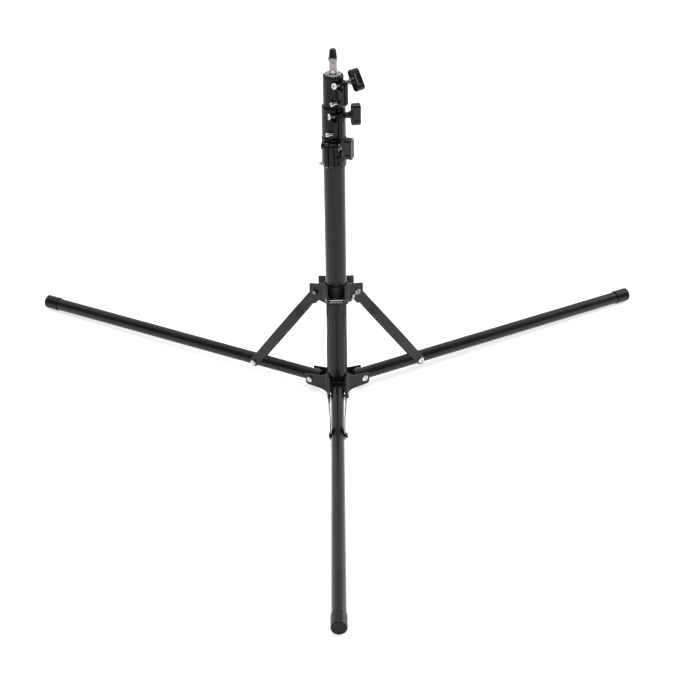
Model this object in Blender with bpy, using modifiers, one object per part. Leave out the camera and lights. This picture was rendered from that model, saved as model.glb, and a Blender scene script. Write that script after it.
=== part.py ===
"""Reverse folding light stand.

Four nested column tubes with clamp collars and T-knobs, three legs that fold up beside
the column, struts to a sliding collar, and a chrome stud with a thread cap on top.

Units are metres and +Z is up. The origin is on the column's axis, on the flat underside
of its foot plug. Leg 1 points along -Y, and legs 2 and 3 stand 120 degrees apart from it.
"""

from dataclasses import dataclass
from math import atan2, cos, hypot, pi, radians, sin

import bmesh
import bpy
from mathutils import Matrix, Vector

# Fit between pieces that touch, slide or turn on each other
GAP = 0.0003

# Column tubes
COLUMN_RADIUS = 0.0175
TUBE_WALL = 0.001
NEST_GAP = 0.0015
GUIDE_HEIGHT = 0.020
GUIDE_LIP = 0.002
STAGE_REST_GAP = 0.0017

# Plug in the foot of the column
PLUG_FLANGE = 0.0087
PLUG_CHAMFER = 0.002
PLUG_HEIGHT = 0.025
PLUG_WALL = 0.003

# Clamp collars, lower, middle and top
COLLAR_Z = 0.431
COLLAR_HEIGHT = 0.051
COLLAR_SPACING = 0.0005
TUBE_IN_COLLAR = 0.025
LOWER_COLLAR_WALL = 0.0022
MIDDLE_COLLAR_WALL = 0.004
TOP_COLLAR_WALL = 0.0038
COLLAR_EDGE = 0.001
LUG_REACH = 0.0295
LUG_HALF_THICKNESS = 0.007
LUG_FOOT = 0.001
LUG_TOP_DROP = 0.006
LUG_FOOT_CHAMFER = 0.008
LUG_TOP_CHAMFER = 0.003
SLIT_WIDTH = 0.002

# Clamp bolt through each lug, and its boss and nut
CLAMP_BOLT_RADIUS = 0.0025
LOWER_BOLT_WEB = 0.0004
MIDDLE_BOLT_WEB = 0.0006
TOP_BOLT_WEB = 0.0029
LOWER_BOLT_DROP = 0.010
MIDDLE_BOLT_DROP = 0.011
TOP_BOLT_DROP = 0.011
BOSS_RADIUS = 0.0063
LOWER_BOSS_LOW = -0.0132
INNER_BOSS_LOW = -0.001
LOWER_BOSS_HIGH = 0.0155
MIDDLE_BOSS_HIGH = 0.0127
TOP_BOSS_HIGH = 0.0078
LOWER_NUT_SEAT = 0.0085
INNER_NUT_SEAT = 0.0095
NUT_RECESS_FLOOR = 0.0025
NUT_RECESS_HALF_HEIGHT = 0.0065
CLAMP_NUT_RADIUS = 0.005
CLAMP_NUT_HEIGHT = 0.004
CLAMP_BOLT_TIP = 0.0015
SHOULDER_RADIUS = 0.0042
LOWER_SHOULDER = 0.0068
MIDDLE_SHOULDER = 0.0037
TOP_SHOULDER = 0.0086
KNOB_BAR_LOW = 0.0245

# Directions of the clamp bolts, and the tilt of each knob's bar
LOWER_CLAMP_ANGLE = radians(-18.5)
MIDDLE_CLAMP_ANGLE = radians(14)
TOP_CLAMP_ANGLE = radians(37)
LOWER_KNOB_TILT = radians(0)
MIDDLE_KNOB_TILT = radians(0)
TOP_KNOB_TILT = radians(35)

# T-knobs
KNOB_LENGTH = 0.036
KNOB_WIDTH = 0.015
KNOB_THICKNESS = 0.0136
KNOB_CORNER = 0.006
KNOB_EDGE = 0.0016
KNOB_NECK_RADIUS = 0.0048
KNOB_NECK_BASE_RADIUS = 0.0066
KNOB_BORE_DEPTH = 0.010

# Fixing screw near the foot of each lug
FIXING_SCREW_RADIUS = 0.0024
FIXING_SCREW_WEB = 0.0012
FIXING_SCREW_HEIGHT = 0.010
FIXING_SCREW_STANDOFF = 0.0065
FIXING_HEAD_RADIUS = 0.0035
FIXING_HEAD_HEIGHT = 0.0045
FIXING_HEAD_DOME = 0.0012
FIXING_SCREW_END_WALL = 0.002

# Stud at the top of the column, with its thread and cap
SPIGOT_STEM = 0.025
SPIGOT_FLANGE_RADIUS = 0.013
SPIGOT_FLANGE_THICKNESS = 0.0025
SPIGOT_FOOT_RADIUS = 0.0079
SPIGOT_FOOT_HEIGHT = 0.004
SPIGOT_WAIST_RADIUS = 0.00615
SPIGOT_WAIST_HEIGHT = 0.0135
SPIGOT_RING_RADIUS = 0.0071
SPIGOT_RING_HEIGHT = 0.0035
SPIGOT_RIM_RADIUS = 0.008
SPIGOT_RIM_HEIGHT = 0.0045
SPIGOT_SLOPE = 0.0008
THREAD_RADIUS = 0.00475
THREAD_HEIGHT = 0.011
CAP_FOOT_RADIUS = 0.0065
CAP_TOP_RADIUS = 0.0052
CAP_TOP_THICKNESS = 0.0026
CAP_EDGE = 0.0007

# Folded plates of the hub and the sliding collar
PLATE_THICKNESS = 0.0022
PLATE_MIN_BEND = 0.003
HUB_PIVOT_RADIUS = 0.046
HUB_PIVOT_Z = 0.019
HUB_EAR_REACH = 0.0095
HUB_ROOT_TOP = 0.023
HUB_ROOT_BOTTOM = 0.019
HUB_SHOULDER_RADIUS = 0.011
HUB_NECK_RADIUS = 0.028
HUB_NECK_TOP = 0.012
HUB_NECK_BOTTOM = 0.0135
HUB_TIP_TOP = 0.0085
HUB_TIP_BOTTOM = 0.0125
HUB_TIP_CHAMFER = 0.005
HUB_WASHER = 0.0015
HUB_WASHER_RADIUS = 0.007
WEB_THICKNESS = 0.0025
WEB_TOP = 0.011
WEB_BOTTOM = 0.009

# Legs
LEG_RADIUS = 0.011
LEG_WALL = 0.0012
LEG_LENGTH = 0.5881
LEG_SLOPE = radians(1.169)
LEG_TAIL = 0.0114
LEG_PLUG_DEPTH = 0.030
LEG_PLUG_FLANGE = 0.0015
FOOT_LENGTH = 0.028
FOOT_WALL = 0.001
FOOT_END_WALL = 0.0025
FOOT_EDGE = 0.002

# Struts
STRUT_BOLT_REACH = 0.1175
STRIP_THICKNESS = 0.0015
STRIP_WIDTH = 0.016
STRIP_FLARE = 0.0037
STRIP_LEG_PINCH = 0.027
STRIP_LEG_TAPER = 0.045
STRIP_SLIDER_PINCH = 0.048
STRIP_SLIDER_TAPER = 0.014
SPACER_RADIUS = 0.004

# Sliding collar
SLIDER_PIVOT_RADIUS = 0.032
SLIDER_PIVOT_Z = 0.196
SLIDER_BUSH_WALL = 0.0011
SLIDER_BUSH_TOP = 0.020
SLIDER_BAND_WALL = 0.0014
SLIDER_EAR_CLEARANCE = 0.0012
SLIDER_EAR_REACH = 0.011
SLIDER_ROOT_TOP = 0.019
SLIDER_ROOT_BOTTOM = 0.016
SLIDER_TIP_TOP = 0.0135
SLIDER_TIP_BOTTOM = 0.023
SLIDER_FOOT_WIDTH = 0.010
SLIDER_ARCH_RADIUS = 0.024
SLIDER_ARCH_BOTTOM = 0.0145
SLIDER_SLIT = 0.0016
SLIDER_SCREW_RADIUS = 0.0016
SLIDER_SCREW_HEAD_RADIUS = 0.0024
SLIDER_SCREW_HEAD_HEIGHT = 0.0022
SLIDER_SCREW_INSET = 0.0086
SLIDER_SCREW_DROP = 0.0050
SLIDER_SCREW_PITCH = 0.0054
SLIDER_SCREW_SLANT = 0.0014
SLIDER_SCREW_TIP = 0.0008

# Pivot bolts and nuts
BOLT_RADIUS = 0.003
BOLT_HEAD_RADIUS = 0.0055
BOLT_HEAD_HEIGHT = 0.003
BOLT_HEAD_DOME = 0.0012
NUT_RADIUS = 0.0057
NUT_HEIGHT = 0.0045
BOLT_TIP = 0.001

# Steps of the round shapes
TUBE_STEPS = 32
LEG_STEPS = 20
SPIGOT_STEPS = 24
BOLT_STEPS = 12
CORNER_STEPS = 3
BEND_STEPS = 4
CURVE_STEPS = 4

# Directions of the legs, and of the hub plates between them
LEG_AZIMUTHS = tuple(radians(-90 + 120 * number) for number in range(3))
PLATE_AZIMUTHS = tuple(azimuth + radians(60) for azimuth in LEG_AZIMUTHS)

OBJECT_NAME = "reverse_folding_light_stand"
WIDE = 0.2

FINISHES = {
    "gloss_black": ((0.022, 0.022, 0.024), 0.32, 0.0),
    "satin_black": ((0.030, 0.030, 0.032), 0.45, 0.0),
    "black_plastic": ((0.035, 0.035, 0.037), 0.50, 0.0),
    "black_rubber": ((0.028, 0.028, 0.030), 0.70, 0.0),
    "grey_nylon": ((0.120, 0.120, 0.125), 0.55, 0.0),
    "chrome": ((0.780, 0.770, 0.750), 0.15, 1.0),
    "zinc": ((0.620, 0.620, 0.610), 0.30, 1.0),
}


@dataclass(frozen=True)
class Collar:
    """The sizes in which the three clamp collars differ.

    Sizes along the clamp bolt count from the slit, positive towards the knob.
    """

    name: str
    stage: int
    wall: float
    bolt_web: float
    bolt_drop: float
    boss_low: float
    boss_high: float
    nut_seat: float
    recessed: bool
    shoulder: float
    angle: float
    knob_tilt: float

    def bore(self):
        """Radius of the collar's bore, round its own tube."""
        return tube_radius(self.stage) + GAP

    def bolt_radius(self):
        """Distance of the clamp bolt from the column's axis."""
        return self.bore() + self.bolt_web + GAP + CLAMP_BOLT_RADIUS

    def bolt_height(self):
        """Height of the clamp bolt above the collar's underside."""
        return COLLAR_HEIGHT - self.bolt_drop

    def screw_radius(self):
        """Distance of the fixing screw from the column's axis."""
        return self.bore() + FIXING_SCREW_WEB + GAP + FIXING_SCREW_RADIUS


def clear_scene():
    """Removes every object and collection that the file holds."""
    for item in list(bpy.data.objects):
        bpy.data.objects.remove(item, do_unlink=True)
    for group in list(bpy.data.collections):
        bpy.data.collections.remove(group)


def add_collection(name):
    """New collection in the scene."""
    group = bpy.data.collections.new(name)
    bpy.context.scene.collection.children.link(group)
    return group


def add_material(name, colour, roughness, metallic):
    """Material with one Principled shader."""
    material = bpy.data.materials.new(name)
    material.use_nodes = True
    shader = material.node_tree.nodes["Principled BSDF"]
    shader.inputs["Base Color"].default_value = (*colour, 1.0)
    shader.inputs["Roughness"].default_value = roughness
    shader.inputs["Metallic"].default_value = metallic
    return material


def add_frame(name, parent, matrix):
    """Empty that carries the pieces of one moving body; its origin is on the joint's axis."""
    frame = bpy.data.objects.new(name, None)
    frame.empty_display_size = 0.02
    parts.objects.link(frame)
    frame.parent = parent
    frame.matrix_local = matrix
    return frame


def add_piece(name, mesh, finish, frame, matrix=Matrix()):
    """Object for one sub-part, carried by a frame."""
    piece = bpy.data.objects.new(name, mesh)
    parts.objects.link(piece)
    piece.parent = frame
    piece.matrix_local = matrix
    mesh.shade_smooth()
    mesh.set_sharp_from_angle(angle=radians(35))
    if not mesh.materials:
        mesh.materials.append(materials[finish])
    return piece


def add_helper(data):
    """Object that only shapes another one."""
    helper = bpy.data.objects.new("helper", data)
    helpers.objects.link(helper)
    helper.hide_render = True
    helper.display_type = "WIRE"
    return helper


def weld(mesh):
    """Merges the mesh's doubled corners, drops stray edges and turns its faces outwards."""
    shape = bmesh.new()
    shape.from_mesh(mesh)
    bmesh.ops.remove_doubles(shape, verts=shape.verts, dist=1e-6)
    stray = [edge for edge in shape.edges if not edge.link_faces]
    bmesh.ops.delete(shape, geom=stray, context="EDGES")
    bmesh.ops.recalc_face_normals(shape, faces=shape.faces)
    shape.to_mesh(mesh)
    shape.free()
    return mesh


def bake(helper, *operands):
    """Mesh of a helper with its modifiers applied; the helper and its operands go."""
    depsgraph = bpy.context.evaluated_depsgraph_get()
    mesh = bpy.data.meshes.new_from_object(helper.evaluated_get(depsgraph))
    for used in (helper, *operands):
        bpy.data.objects.remove(used, do_unlink=True)
    return weld(mesh)


def combine(operation, mesh, others):
    """Mesh of a Boolean of the first mesh with each of the others in turn."""
    helper = add_helper(mesh)
    operands = [add_helper(other) for other in others]
    for operand in operands:
        modifier = helper.modifiers.new(operation.lower(), "BOOLEAN")
        modifier.operation = operation
        modifier.object = operand
    return bake(helper, *operands)


def cut(mesh, *cutters):
    """Mesh with the cutters taken out."""
    return combine("DIFFERENCE", mesh, cutters)


def join(mesh, *others):
    """One solid out of shapes that meet."""
    return combine("UNION", mesh, others)


def common(mesh, other):
    """What two shapes share."""
    return combine("INTERSECT", mesh, [other])


def moved(mesh, matrix):
    """Copy of a mesh at another place."""
    copy = mesh.copy()
    copy.transform(matrix)
    return copy


def turned(profile, steps=TUBE_STEPS):
    """Solid of a profile of (radius, height) points turned about +Z.

    The profile runs down the outer side. It closes into a ring unless it starts on the axis.
    """
    mesh = bpy.data.meshes.new("profile")
    shape = bmesh.new()
    corners = [shape.verts.new((radius, 0, height)) for radius, height in profile]
    for upper, lower in zip(corners, corners[1:]):
        shape.edges.new((upper, lower))
    if profile[0][0] > 0:
        shape.edges.new((corners[-1], corners[0]))
    shape.to_mesh(mesh)
    shape.free()
    helper = add_helper(mesh)
    screw = helper.modifiers.new("turn", "SCREW")
    screw.steps = steps
    screw.render_steps = steps
    screw.use_merge_vertices = True
    screw.merge_threshold = 1e-6
    return bake(helper)


def rod(radius, low, high, steps=BOLT_STEPS):
    """Cylinder along Z from one height to the other."""
    mesh = bpy.data.meshes.new("rod")
    shape = bmesh.new()
    bmesh.ops.create_cone(
        shape, cap_ends=True, segments=steps, radius1=radius, radius2=radius,
        depth=high - low, matrix=Matrix.Translation((0, 0, (low + high) / 2)))
    shape.to_mesh(mesh)
    shape.free()
    return mesh


def tube(radius, wall, low, high, steps=TUBE_STEPS):
    """Round tube along Z."""
    bore = radius - wall
    return turned([(radius, high), (radius, low), (bore, low), (bore, high)], steps)


def box(low, high):
    """Box between two corners."""
    low, high = Vector(low), Vector(high)
    mesh = bpy.data.meshes.new("box")
    shape = bmesh.new()
    place = Matrix.Translation((low + high) / 2) @ Matrix.Diagonal((*(high - low), 1))
    bmesh.ops.create_cube(shape, size=1, matrix=place)
    shape.to_mesh(mesh)
    shape.free()
    return mesh


def plate(outline, thickness, holes=()):
    """Flat plate in the XY plane with holes, half its thickness on each side of Z = 0."""
    curve = bpy.data.curves.new("outline", "CURVE")
    curve.dimensions = "2D"
    curve.fill_mode = "BOTH"
    curve.extrude = thickness / 2
    for points in (outline, *holes):
        spline = curve.splines.new("POLY")
        spline.points.add(len(points) - 1)
        spline.use_cyclic_u = True
        for corner, (x, y) in zip(spline.points, points):
            corner.co = (x, y, 0, 1)
    return bake(add_helper(curve))


def upright(mesh):
    """Turns a plate from the XY plane into the XZ plane."""
    return moved(mesh, Matrix.Rotation(radians(90), 4, "X"))


def arc(centre, radius, start, end, steps):
    """Points on an arc between two angles, both ends included."""
    turns = [start + (end - start) * step / steps for step in range(steps + 1)]
    return [(centre[0] + radius * cos(turn), centre[1] + radius * sin(turn)) for turn in turns]


def circle(centre, radius, steps=BOLT_STEPS):
    """Points of a closed circle."""
    return arc(centre, radius, 0, 2 * pi, steps)[:-1]


def curve_through(start, control, end, steps=CURVE_STEPS):
    """Points of a quadratic curve that leaves and arrives towards its control point."""
    points = []
    for step in range(steps + 1):
        share = step / steps
        weights = ((1 - share) ** 2, 2 * share * (1 - share), share ** 2)
        points.append(tuple(
            sum(weight * point[axis] for weight, point in zip(weights, (start, control, end)))
            for axis in (0, 1)))
    return points


def rounded_rectangle(width, height, corner):
    """Outline of a rectangle with round corners, centred on the origin."""
    across, up = width / 2 - corner, height / 2 - corner
    points = []
    for quarter, centre in enumerate(((across, up), (-across, up), (-across, -up), (across, -up))):
        start = quarter * pi / 2
        points += arc(centre, corner, start, start + pi / 2, CORNER_STEPS)
    return points


def ribbon(path, thickness):
    """Outline of a bent strip of even thickness whose middle line is the path."""
    points = [Vector(point) for point in path]
    runs = [(after - before).normalized() for before, after in zip(points, points[1:])]
    left, right = [], []
    for index, point in enumerate(points):
        before = runs[max(index - 1, 0)]
        after = runs[min(index, len(runs) - 1)]
        side = Vector((-before.y - after.y, before.x + after.x)).normalized()
        offset = side * (thickness / 2) / side.dot(Vector((-after.y, after.x)))
        left.append(tuple(point + offset))
        right.append(tuple(point - offset))
    return left + right[::-1]


LOWER_COLLAR = Collar(
    name="lower", stage=0, wall=LOWER_COLLAR_WALL, bolt_web=LOWER_BOLT_WEB,
    bolt_drop=LOWER_BOLT_DROP, boss_low=LOWER_BOSS_LOW, boss_high=LOWER_BOSS_HIGH,
    nut_seat=LOWER_NUT_SEAT, recessed=False, shoulder=LOWER_SHOULDER,
    angle=LOWER_CLAMP_ANGLE, knob_tilt=LOWER_KNOB_TILT)
MIDDLE_COLLAR = Collar(
    name="middle", stage=1, wall=MIDDLE_COLLAR_WALL, bolt_web=MIDDLE_BOLT_WEB,
    bolt_drop=MIDDLE_BOLT_DROP, boss_low=INNER_BOSS_LOW, boss_high=MIDDLE_BOSS_HIGH,
    nut_seat=INNER_NUT_SEAT, recessed=True, shoulder=MIDDLE_SHOULDER,
    angle=MIDDLE_CLAMP_ANGLE, knob_tilt=MIDDLE_KNOB_TILT)
TOP_COLLAR = Collar(
    name="top", stage=2, wall=TOP_COLLAR_WALL, bolt_web=TOP_BOLT_WEB,
    bolt_drop=TOP_BOLT_DROP, boss_low=INNER_BOSS_LOW, boss_high=TOP_BOSS_HIGH,
    nut_seat=INNER_NUT_SEAT, recessed=True, shoulder=TOP_SHOULDER,
    angle=TOP_CLAMP_ANGLE, knob_tilt=TOP_KNOB_TILT)


def tube_radius(stage):
    """Outer radius of a column tube; stage 0 is the outer tube."""
    return COLUMN_RADIUS - stage * (TUBE_WALL + NEST_GAP)


def tube_bottom(stage):
    """Height of a column tube's lower end with the column pushed together."""
    if stage == 0:
        return PLUG_FLANGE + GAP
    return PLUG_HEIGHT + stage * (STAGE_REST_GAP + GUIDE_LIP + GAP)


def collar_bottom(stage):
    """Height of a collar's underside."""
    return COLLAR_Z + stage * (COLLAR_HEIGHT + COLLAR_SPACING)


def column_top():
    """Height of the top collar's upper face."""
    return collar_bottom(2) + COLLAR_HEIGHT


def build_tube(stage, name, frame):
    """One column tube, and below an inner one its plastic guide."""
    radius = tube_radius(stage)
    low = tube_bottom(stage)
    high = collar_bottom(stage) + TUBE_IN_COLLAR if stage < 3 else column_top()
    add_piece(name, tube(radius, TUBE_WALL, low, high), "gloss_black", frame)
    if stage == 0:
        return
    outer = tube_radius(stage - 1) - TUBE_WALL - GAP
    lip_low = low - GAP - GUIDE_LIP
    profile = [
        (outer, lip_low + GUIDE_HEIGHT), (outer, lip_low),
        (radius - TUBE_WALL, lip_low), (radius - TUBE_WALL, lip_low + GUIDE_LIP),
        (radius + GAP, lip_low + GUIDE_LIP), (radius + GAP, lip_low + GUIDE_HEIGHT)]
    add_piece(name + "_guide", turned(profile), "grey_nylon", frame)


def build_column_plug(frame):
    """Plug in the foot of the column, open upwards, with a flat underside."""
    fit = COLUMN_RADIUS - TUBE_WALL - GAP
    bore = fit - PLUG_WALL
    profile = [
        (0, PLUG_WALL), (bore, PLUG_WALL), (bore, PLUG_HEIGHT), (fit, PLUG_HEIGHT),
        (fit, PLUG_FLANGE), (COLUMN_RADIUS, PLUG_FLANGE), (COLUMN_RADIUS, PLUG_CHAMFER),
        (COLUMN_RADIUS - PLUG_CHAMFER, 0), (0, 0)]
    add_piece("column_foot_plug", turned(profile), "black_plastic", frame)


def along_lug(mesh, radius, height):
    """Turns a shape along Z into one along the clamp bolt, at a place on the lug."""
    place = Matrix.Translation((radius, 0, height)) @ Matrix.Rotation(radians(-90), 4, "X")
    return moved(mesh, place)


def lug_mesh():
    """Upright lug with chamfered corners, along +X from the column's axis."""
    top = COLLAR_HEIGHT - LUG_TOP_DROP
    outline = [
        (0, LUG_FOOT), (LUG_REACH - LUG_FOOT_CHAMFER, LUG_FOOT),
        (LUG_REACH, LUG_FOOT + LUG_FOOT_CHAMFER), (LUG_REACH, top - LUG_TOP_CHAMFER),
        (LUG_REACH - LUG_TOP_CHAMFER, top), (0, top)]
    return upright(plate(outline, 2 * LUG_HALF_THICKNESS))


def collar_mesh(collar):
    """Clamp collar in its own frame: lug along +X, clamp bolt along +Y, underside at Z = 0."""
    outer = collar.bore() + collar.wall
    radius, height = collar.bolt_radius(), collar.bolt_height()
    body = turned([
        (0, COLLAR_HEIGHT), (outer - COLLAR_EDGE, COLLAR_HEIGHT),
        (outer, COLLAR_HEIGHT - COLLAR_EDGE), (outer, COLLAR_EDGE),
        (outer - COLLAR_EDGE, 0), (0, 0)])
    boss = along_lug(rod(BOSS_RADIUS, collar.boss_low, collar.boss_high), radius, height)
    cutters = [
        rod(collar.bore(), -COLLAR_HEIGHT, 2 * COLLAR_HEIGHT, TUBE_STEPS),
        box((0, -SLIT_WIDTH / 2, -COLLAR_HEIGHT), (WIDE, SLIT_WIDTH / 2, 2 * COLLAR_HEIGHT)),
        along_lug(rod(CLAMP_BOLT_RADIUS + GAP, -WIDE, WIDE), radius, height),
        along_lug(rod(CLAMP_NUT_RADIUS + GAP, -WIDE, -collar.nut_seat), radius, height),
        along_lug(
            rod(FIXING_SCREW_RADIUS + GAP, -WIDE, LUG_HALF_THICKNESS - FIXING_SCREW_END_WALL),
            collar.screw_radius(), FIXING_SCREW_HEIGHT)]
    if collar.recessed:
        cutters.append(box(
            (radius - CLAMP_BOLT_RADIUS - GAP, -WIDE, height - NUT_RECESS_HALF_HEIGHT),
            (WIDE, -NUT_RECESS_FLOOR, height + NUT_RECESS_HALF_HEIGHT)))
    return cut(join(body, lug_mesh(), boss), *cutters)


def pan_head(radius, height, dome):
    """Profile of a screw head above Z = 0, from the axis down to its underside."""
    return [(0, height), (radius - dome, height), (radius, height - dome), (radius, 0)]


def bush_mesh(collar):
    """Split bush between the collar and the tube that slides in it."""
    outer = collar.bore() - GAP
    ring = tube(
        outer, outer - GAP - tube_radius(collar.stage + 1), TUBE_IN_COLLAR + GAP, COLLAR_HEIGHT)
    slit = box((0, -SLIT_WIDTH / 2, 0), (WIDE, SLIT_WIDTH / 2, 2 * COLLAR_HEIGHT))
    return cut(ring, slit)


def fixing_screw_mesh(collar):
    """Screw near the foot of the lug: its head stands off the side where the nut is."""
    head_low = LUG_HALF_THICKNESS + FIXING_SCREW_STANDOFF
    tip = LUG_HALF_THICKNESS - FIXING_SCREW_END_WALL - GAP
    screw = turned(
        pan_head(FIXING_HEAD_RADIUS, FIXING_HEAD_HEIGHT, FIXING_HEAD_DOME)
        + [(FIXING_SCREW_RADIUS, 0), (FIXING_SCREW_RADIUS, -head_low - tip), (0, -head_low - tip)],
        BOLT_STEPS)
    flipped = Matrix.Translation((0, 0, -head_low)) @ Matrix.Rotation(radians(180), 4, "X")
    return along_lug(moved(screw, flipped), collar.screw_radius(), FIXING_SCREW_HEIGHT)


def clamp_nut_mesh(collar):
    """Hexagonal nut at the far end of the clamp bolt."""
    face = -collar.nut_seat - GAP
    nut = cut(
        rod(CLAMP_NUT_RADIUS, face - CLAMP_NUT_HEIGHT, face, 6),
        rod(CLAMP_BOLT_RADIUS + GAP, -WIDE, WIDE))
    return along_lug(nut, collar.bolt_radius(), collar.bolt_height())


def build_collar(collar, frame):
    """One clamp collar with its bush, fixing screw, nut, clamp bolt and T-knob."""
    turn = Matrix.Rotation(collar.angle - radians(90), 4, "Z")
    place = Matrix.Translation((0, 0, collar_bottom(collar.stage))) @ turn
    name = collar.name
    add_piece(name + "_collar", collar_mesh(collar), "black_plastic", frame, place)
    add_piece(name + "_collar_bush", bush_mesh(collar), "grey_nylon", frame, place)
    add_piece(name + "_collar_screw", fixing_screw_mesh(collar), "zinc", frame, place)
    add_piece(name + "_collar_nut", clamp_nut_mesh(collar), "zinc", frame, place)
    bolt = Matrix.Translation((collar.bolt_radius(), 0, collar.bolt_height()))
    along = Matrix.Rotation(radians(-90), 4, "X")
    build_knob(collar, add_frame(name + "_knob_axis", frame, place @ bolt @ along))


def knob_mesh(shoulder_high):
    """T-bar on a conical neck, bored for the bolt; its long way is Y."""
    bar = add_helper(plate(
        rounded_rectangle(KNOB_WIDTH, KNOB_LENGTH, KNOB_CORNER), KNOB_THICKNESS))
    bevel = bar.modifiers.new("edge", "BEVEL")
    bevel.width = KNOB_EDGE
    bevel.segments = 2
    bevel.limit_method = "ANGLE"
    bevel.angle_limit = radians(60)
    middle = KNOB_BAR_LOW + KNOB_THICKNESS / 2
    bar = moved(bake(bar), Matrix.Translation((0, 0, middle)))
    neck = turned([
        (0, middle), (KNOB_NECK_BASE_RADIUS, middle), (KNOB_NECK_BASE_RADIUS, KNOB_BAR_LOW),
        (KNOB_NECK_RADIUS, shoulder_high + GAP), (0, shoulder_high + GAP)], BOLT_STEPS)
    bore = rod(CLAMP_BOLT_RADIUS + GAP, 0, KNOB_BAR_LOW + KNOB_BORE_DEPTH + GAP)
    return cut(join(bar, neck), bore)


def build_knob(collar, frame):
    """T-knob and its bolt; the bolt's axis is +Z."""
    low = collar.boss_high + GAP
    high = low + collar.shoulder
    tip = -collar.nut_seat - GAP - CLAMP_NUT_HEIGHT - CLAMP_BOLT_TIP
    end = KNOB_BAR_LOW + KNOB_BORE_DEPTH
    turn = Matrix.Rotation(-collar.knob_tilt, 4, "Z")
    add_piece(collar.name + "_knob", knob_mesh(high), "black_plastic", frame, turn)
    bolt = turned([
        (0, end), (CLAMP_BOLT_RADIUS, end), (CLAMP_BOLT_RADIUS, high), (SHOULDER_RADIUS, high),
        (SHOULDER_RADIUS, low), (CLAMP_BOLT_RADIUS, low), (CLAMP_BOLT_RADIUS, tip), (0, tip)],
        BOLT_STEPS)
    add_piece(collar.name + "_knob_bolt", bolt, "chrome", frame)


def build_spigot(frame):
    """Chrome stud whose stem sits in the innermost tube."""
    stem = tube_radius(3) - TUBE_WALL - GAP
    foot = column_top() + GAP
    flange = foot + SPIGOT_FLANGE_THICKNESS
    waist = flange + SPIGOT_FOOT_HEIGHT
    ring = waist + SPIGOT_WAIST_HEIGHT
    rim = ring + SPIGOT_RING_HEIGHT
    top = rim + SPIGOT_RIM_HEIGHT
    profile = [
        (0, top + THREAD_HEIGHT), (THREAD_RADIUS - SPIGOT_SLOPE, top + THREAD_HEIGHT),
        (THREAD_RADIUS, top + THREAD_HEIGHT - SPIGOT_SLOPE), (THREAD_RADIUS, top),
        (SPIGOT_RIM_RADIUS - SPIGOT_SLOPE, top), (SPIGOT_RIM_RADIUS, top - SPIGOT_SLOPE),
        (SPIGOT_RIM_RADIUS, rim + SPIGOT_SLOPE), (SPIGOT_RING_RADIUS, rim),
        (SPIGOT_RING_RADIUS, ring + SPIGOT_SLOPE), (SPIGOT_WAIST_RADIUS, ring),
        (SPIGOT_WAIST_RADIUS, waist + SPIGOT_SLOPE), (SPIGOT_FOOT_RADIUS, waist),
        (SPIGOT_FOOT_RADIUS, flange), (SPIGOT_FLANGE_RADIUS, flange),
        (SPIGOT_FLANGE_RADIUS, foot), (stem, foot), (stem, foot - SPIGOT_STEM),
        (0, foot - SPIGOT_STEM)]
    add_piece("spigot", turned(profile, SPIGOT_STEPS), "chrome", frame)
    return top


def build_thread_cap(frame, seat):
    """Tapered cap over the stud's thread."""
    low = seat + GAP
    bore = THREAD_RADIUS + GAP
    inside = seat + THREAD_HEIGHT + GAP
    high = inside + CAP_TOP_THICKNESS
    profile = [
        (0, high), (CAP_TOP_RADIUS - CAP_EDGE, high), (CAP_TOP_RADIUS, high - CAP_EDGE),
        (CAP_FOOT_RADIUS, low), (bore, low), (bore, inside), (0, inside)]
    add_piece("thread_cap", turned(profile, SPIGOT_STEPS), "black_rubber", frame)


def hub_ear_inner():
    """Half the clear width between the two hub ears beside a leg."""
    return LEG_RADIUS + GAP + HUB_WASHER + GAP


def strip_inner():
    """Half the clear width between a strut's two strips at their ends."""
    return LEG_RADIUS + GAP


def slider_ear_inner():
    """Half the clear width between the two slider ears beside a strut."""
    return strip_inner() + STRIP_THICKNESS + SLIDER_EAR_CLEARANCE


def folded_plate(ear_inner, core_radius, side_outline, *cutters):
    """V-shaped plate: its bend touches a round core at +X, its ears lie beside two legs.

    The side outline is in (distance from the column's axis, height) on the leg's plane, and
    the cutters stand on that plane too.
    """
    middle = ear_inner + PLATE_THICKNESS / 2
    touching = core_radius + GAP + PLATE_THICKNESS / 2
    corner = middle / sin(radians(60))
    easing = 1 / cos(radians(30)) - 1
    bend_radius = max((touching - corner) / easing, PLATE_MIN_BEND)
    nearest = corner + bend_radius * easing
    past_middle = radians(186)
    bend = arc((nearest + bend_radius, 0), bend_radius, past_middle, radians(150), BEND_STEPS)
    leg_way = Vector((cos(radians(60)), sin(radians(60))))
    ear_end = Vector(bend[-1]) + leg_way * WIDE / 2
    half = plate(ribbon([*bend, ear_end], PLATE_THICKNESS), WIDE)
    leg_turn = Matrix.Rotation(radians(60), 4, "Z")
    side = moved(upright(plate(side_outline, WIDE)), leg_turn)
    cutters = [moved(cutter, leg_turn) for cutter in cutters]
    helper = add_helper(cut(common(half, side), *cutters))
    mirror = helper.modifiers.new("mirror", "MIRROR")
    mirror.use_axis = (False, True, False)
    mirror.use_bisect_axis = (False, True, False)
    mirror.merge_threshold = 1e-6
    return bake(helper)


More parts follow.
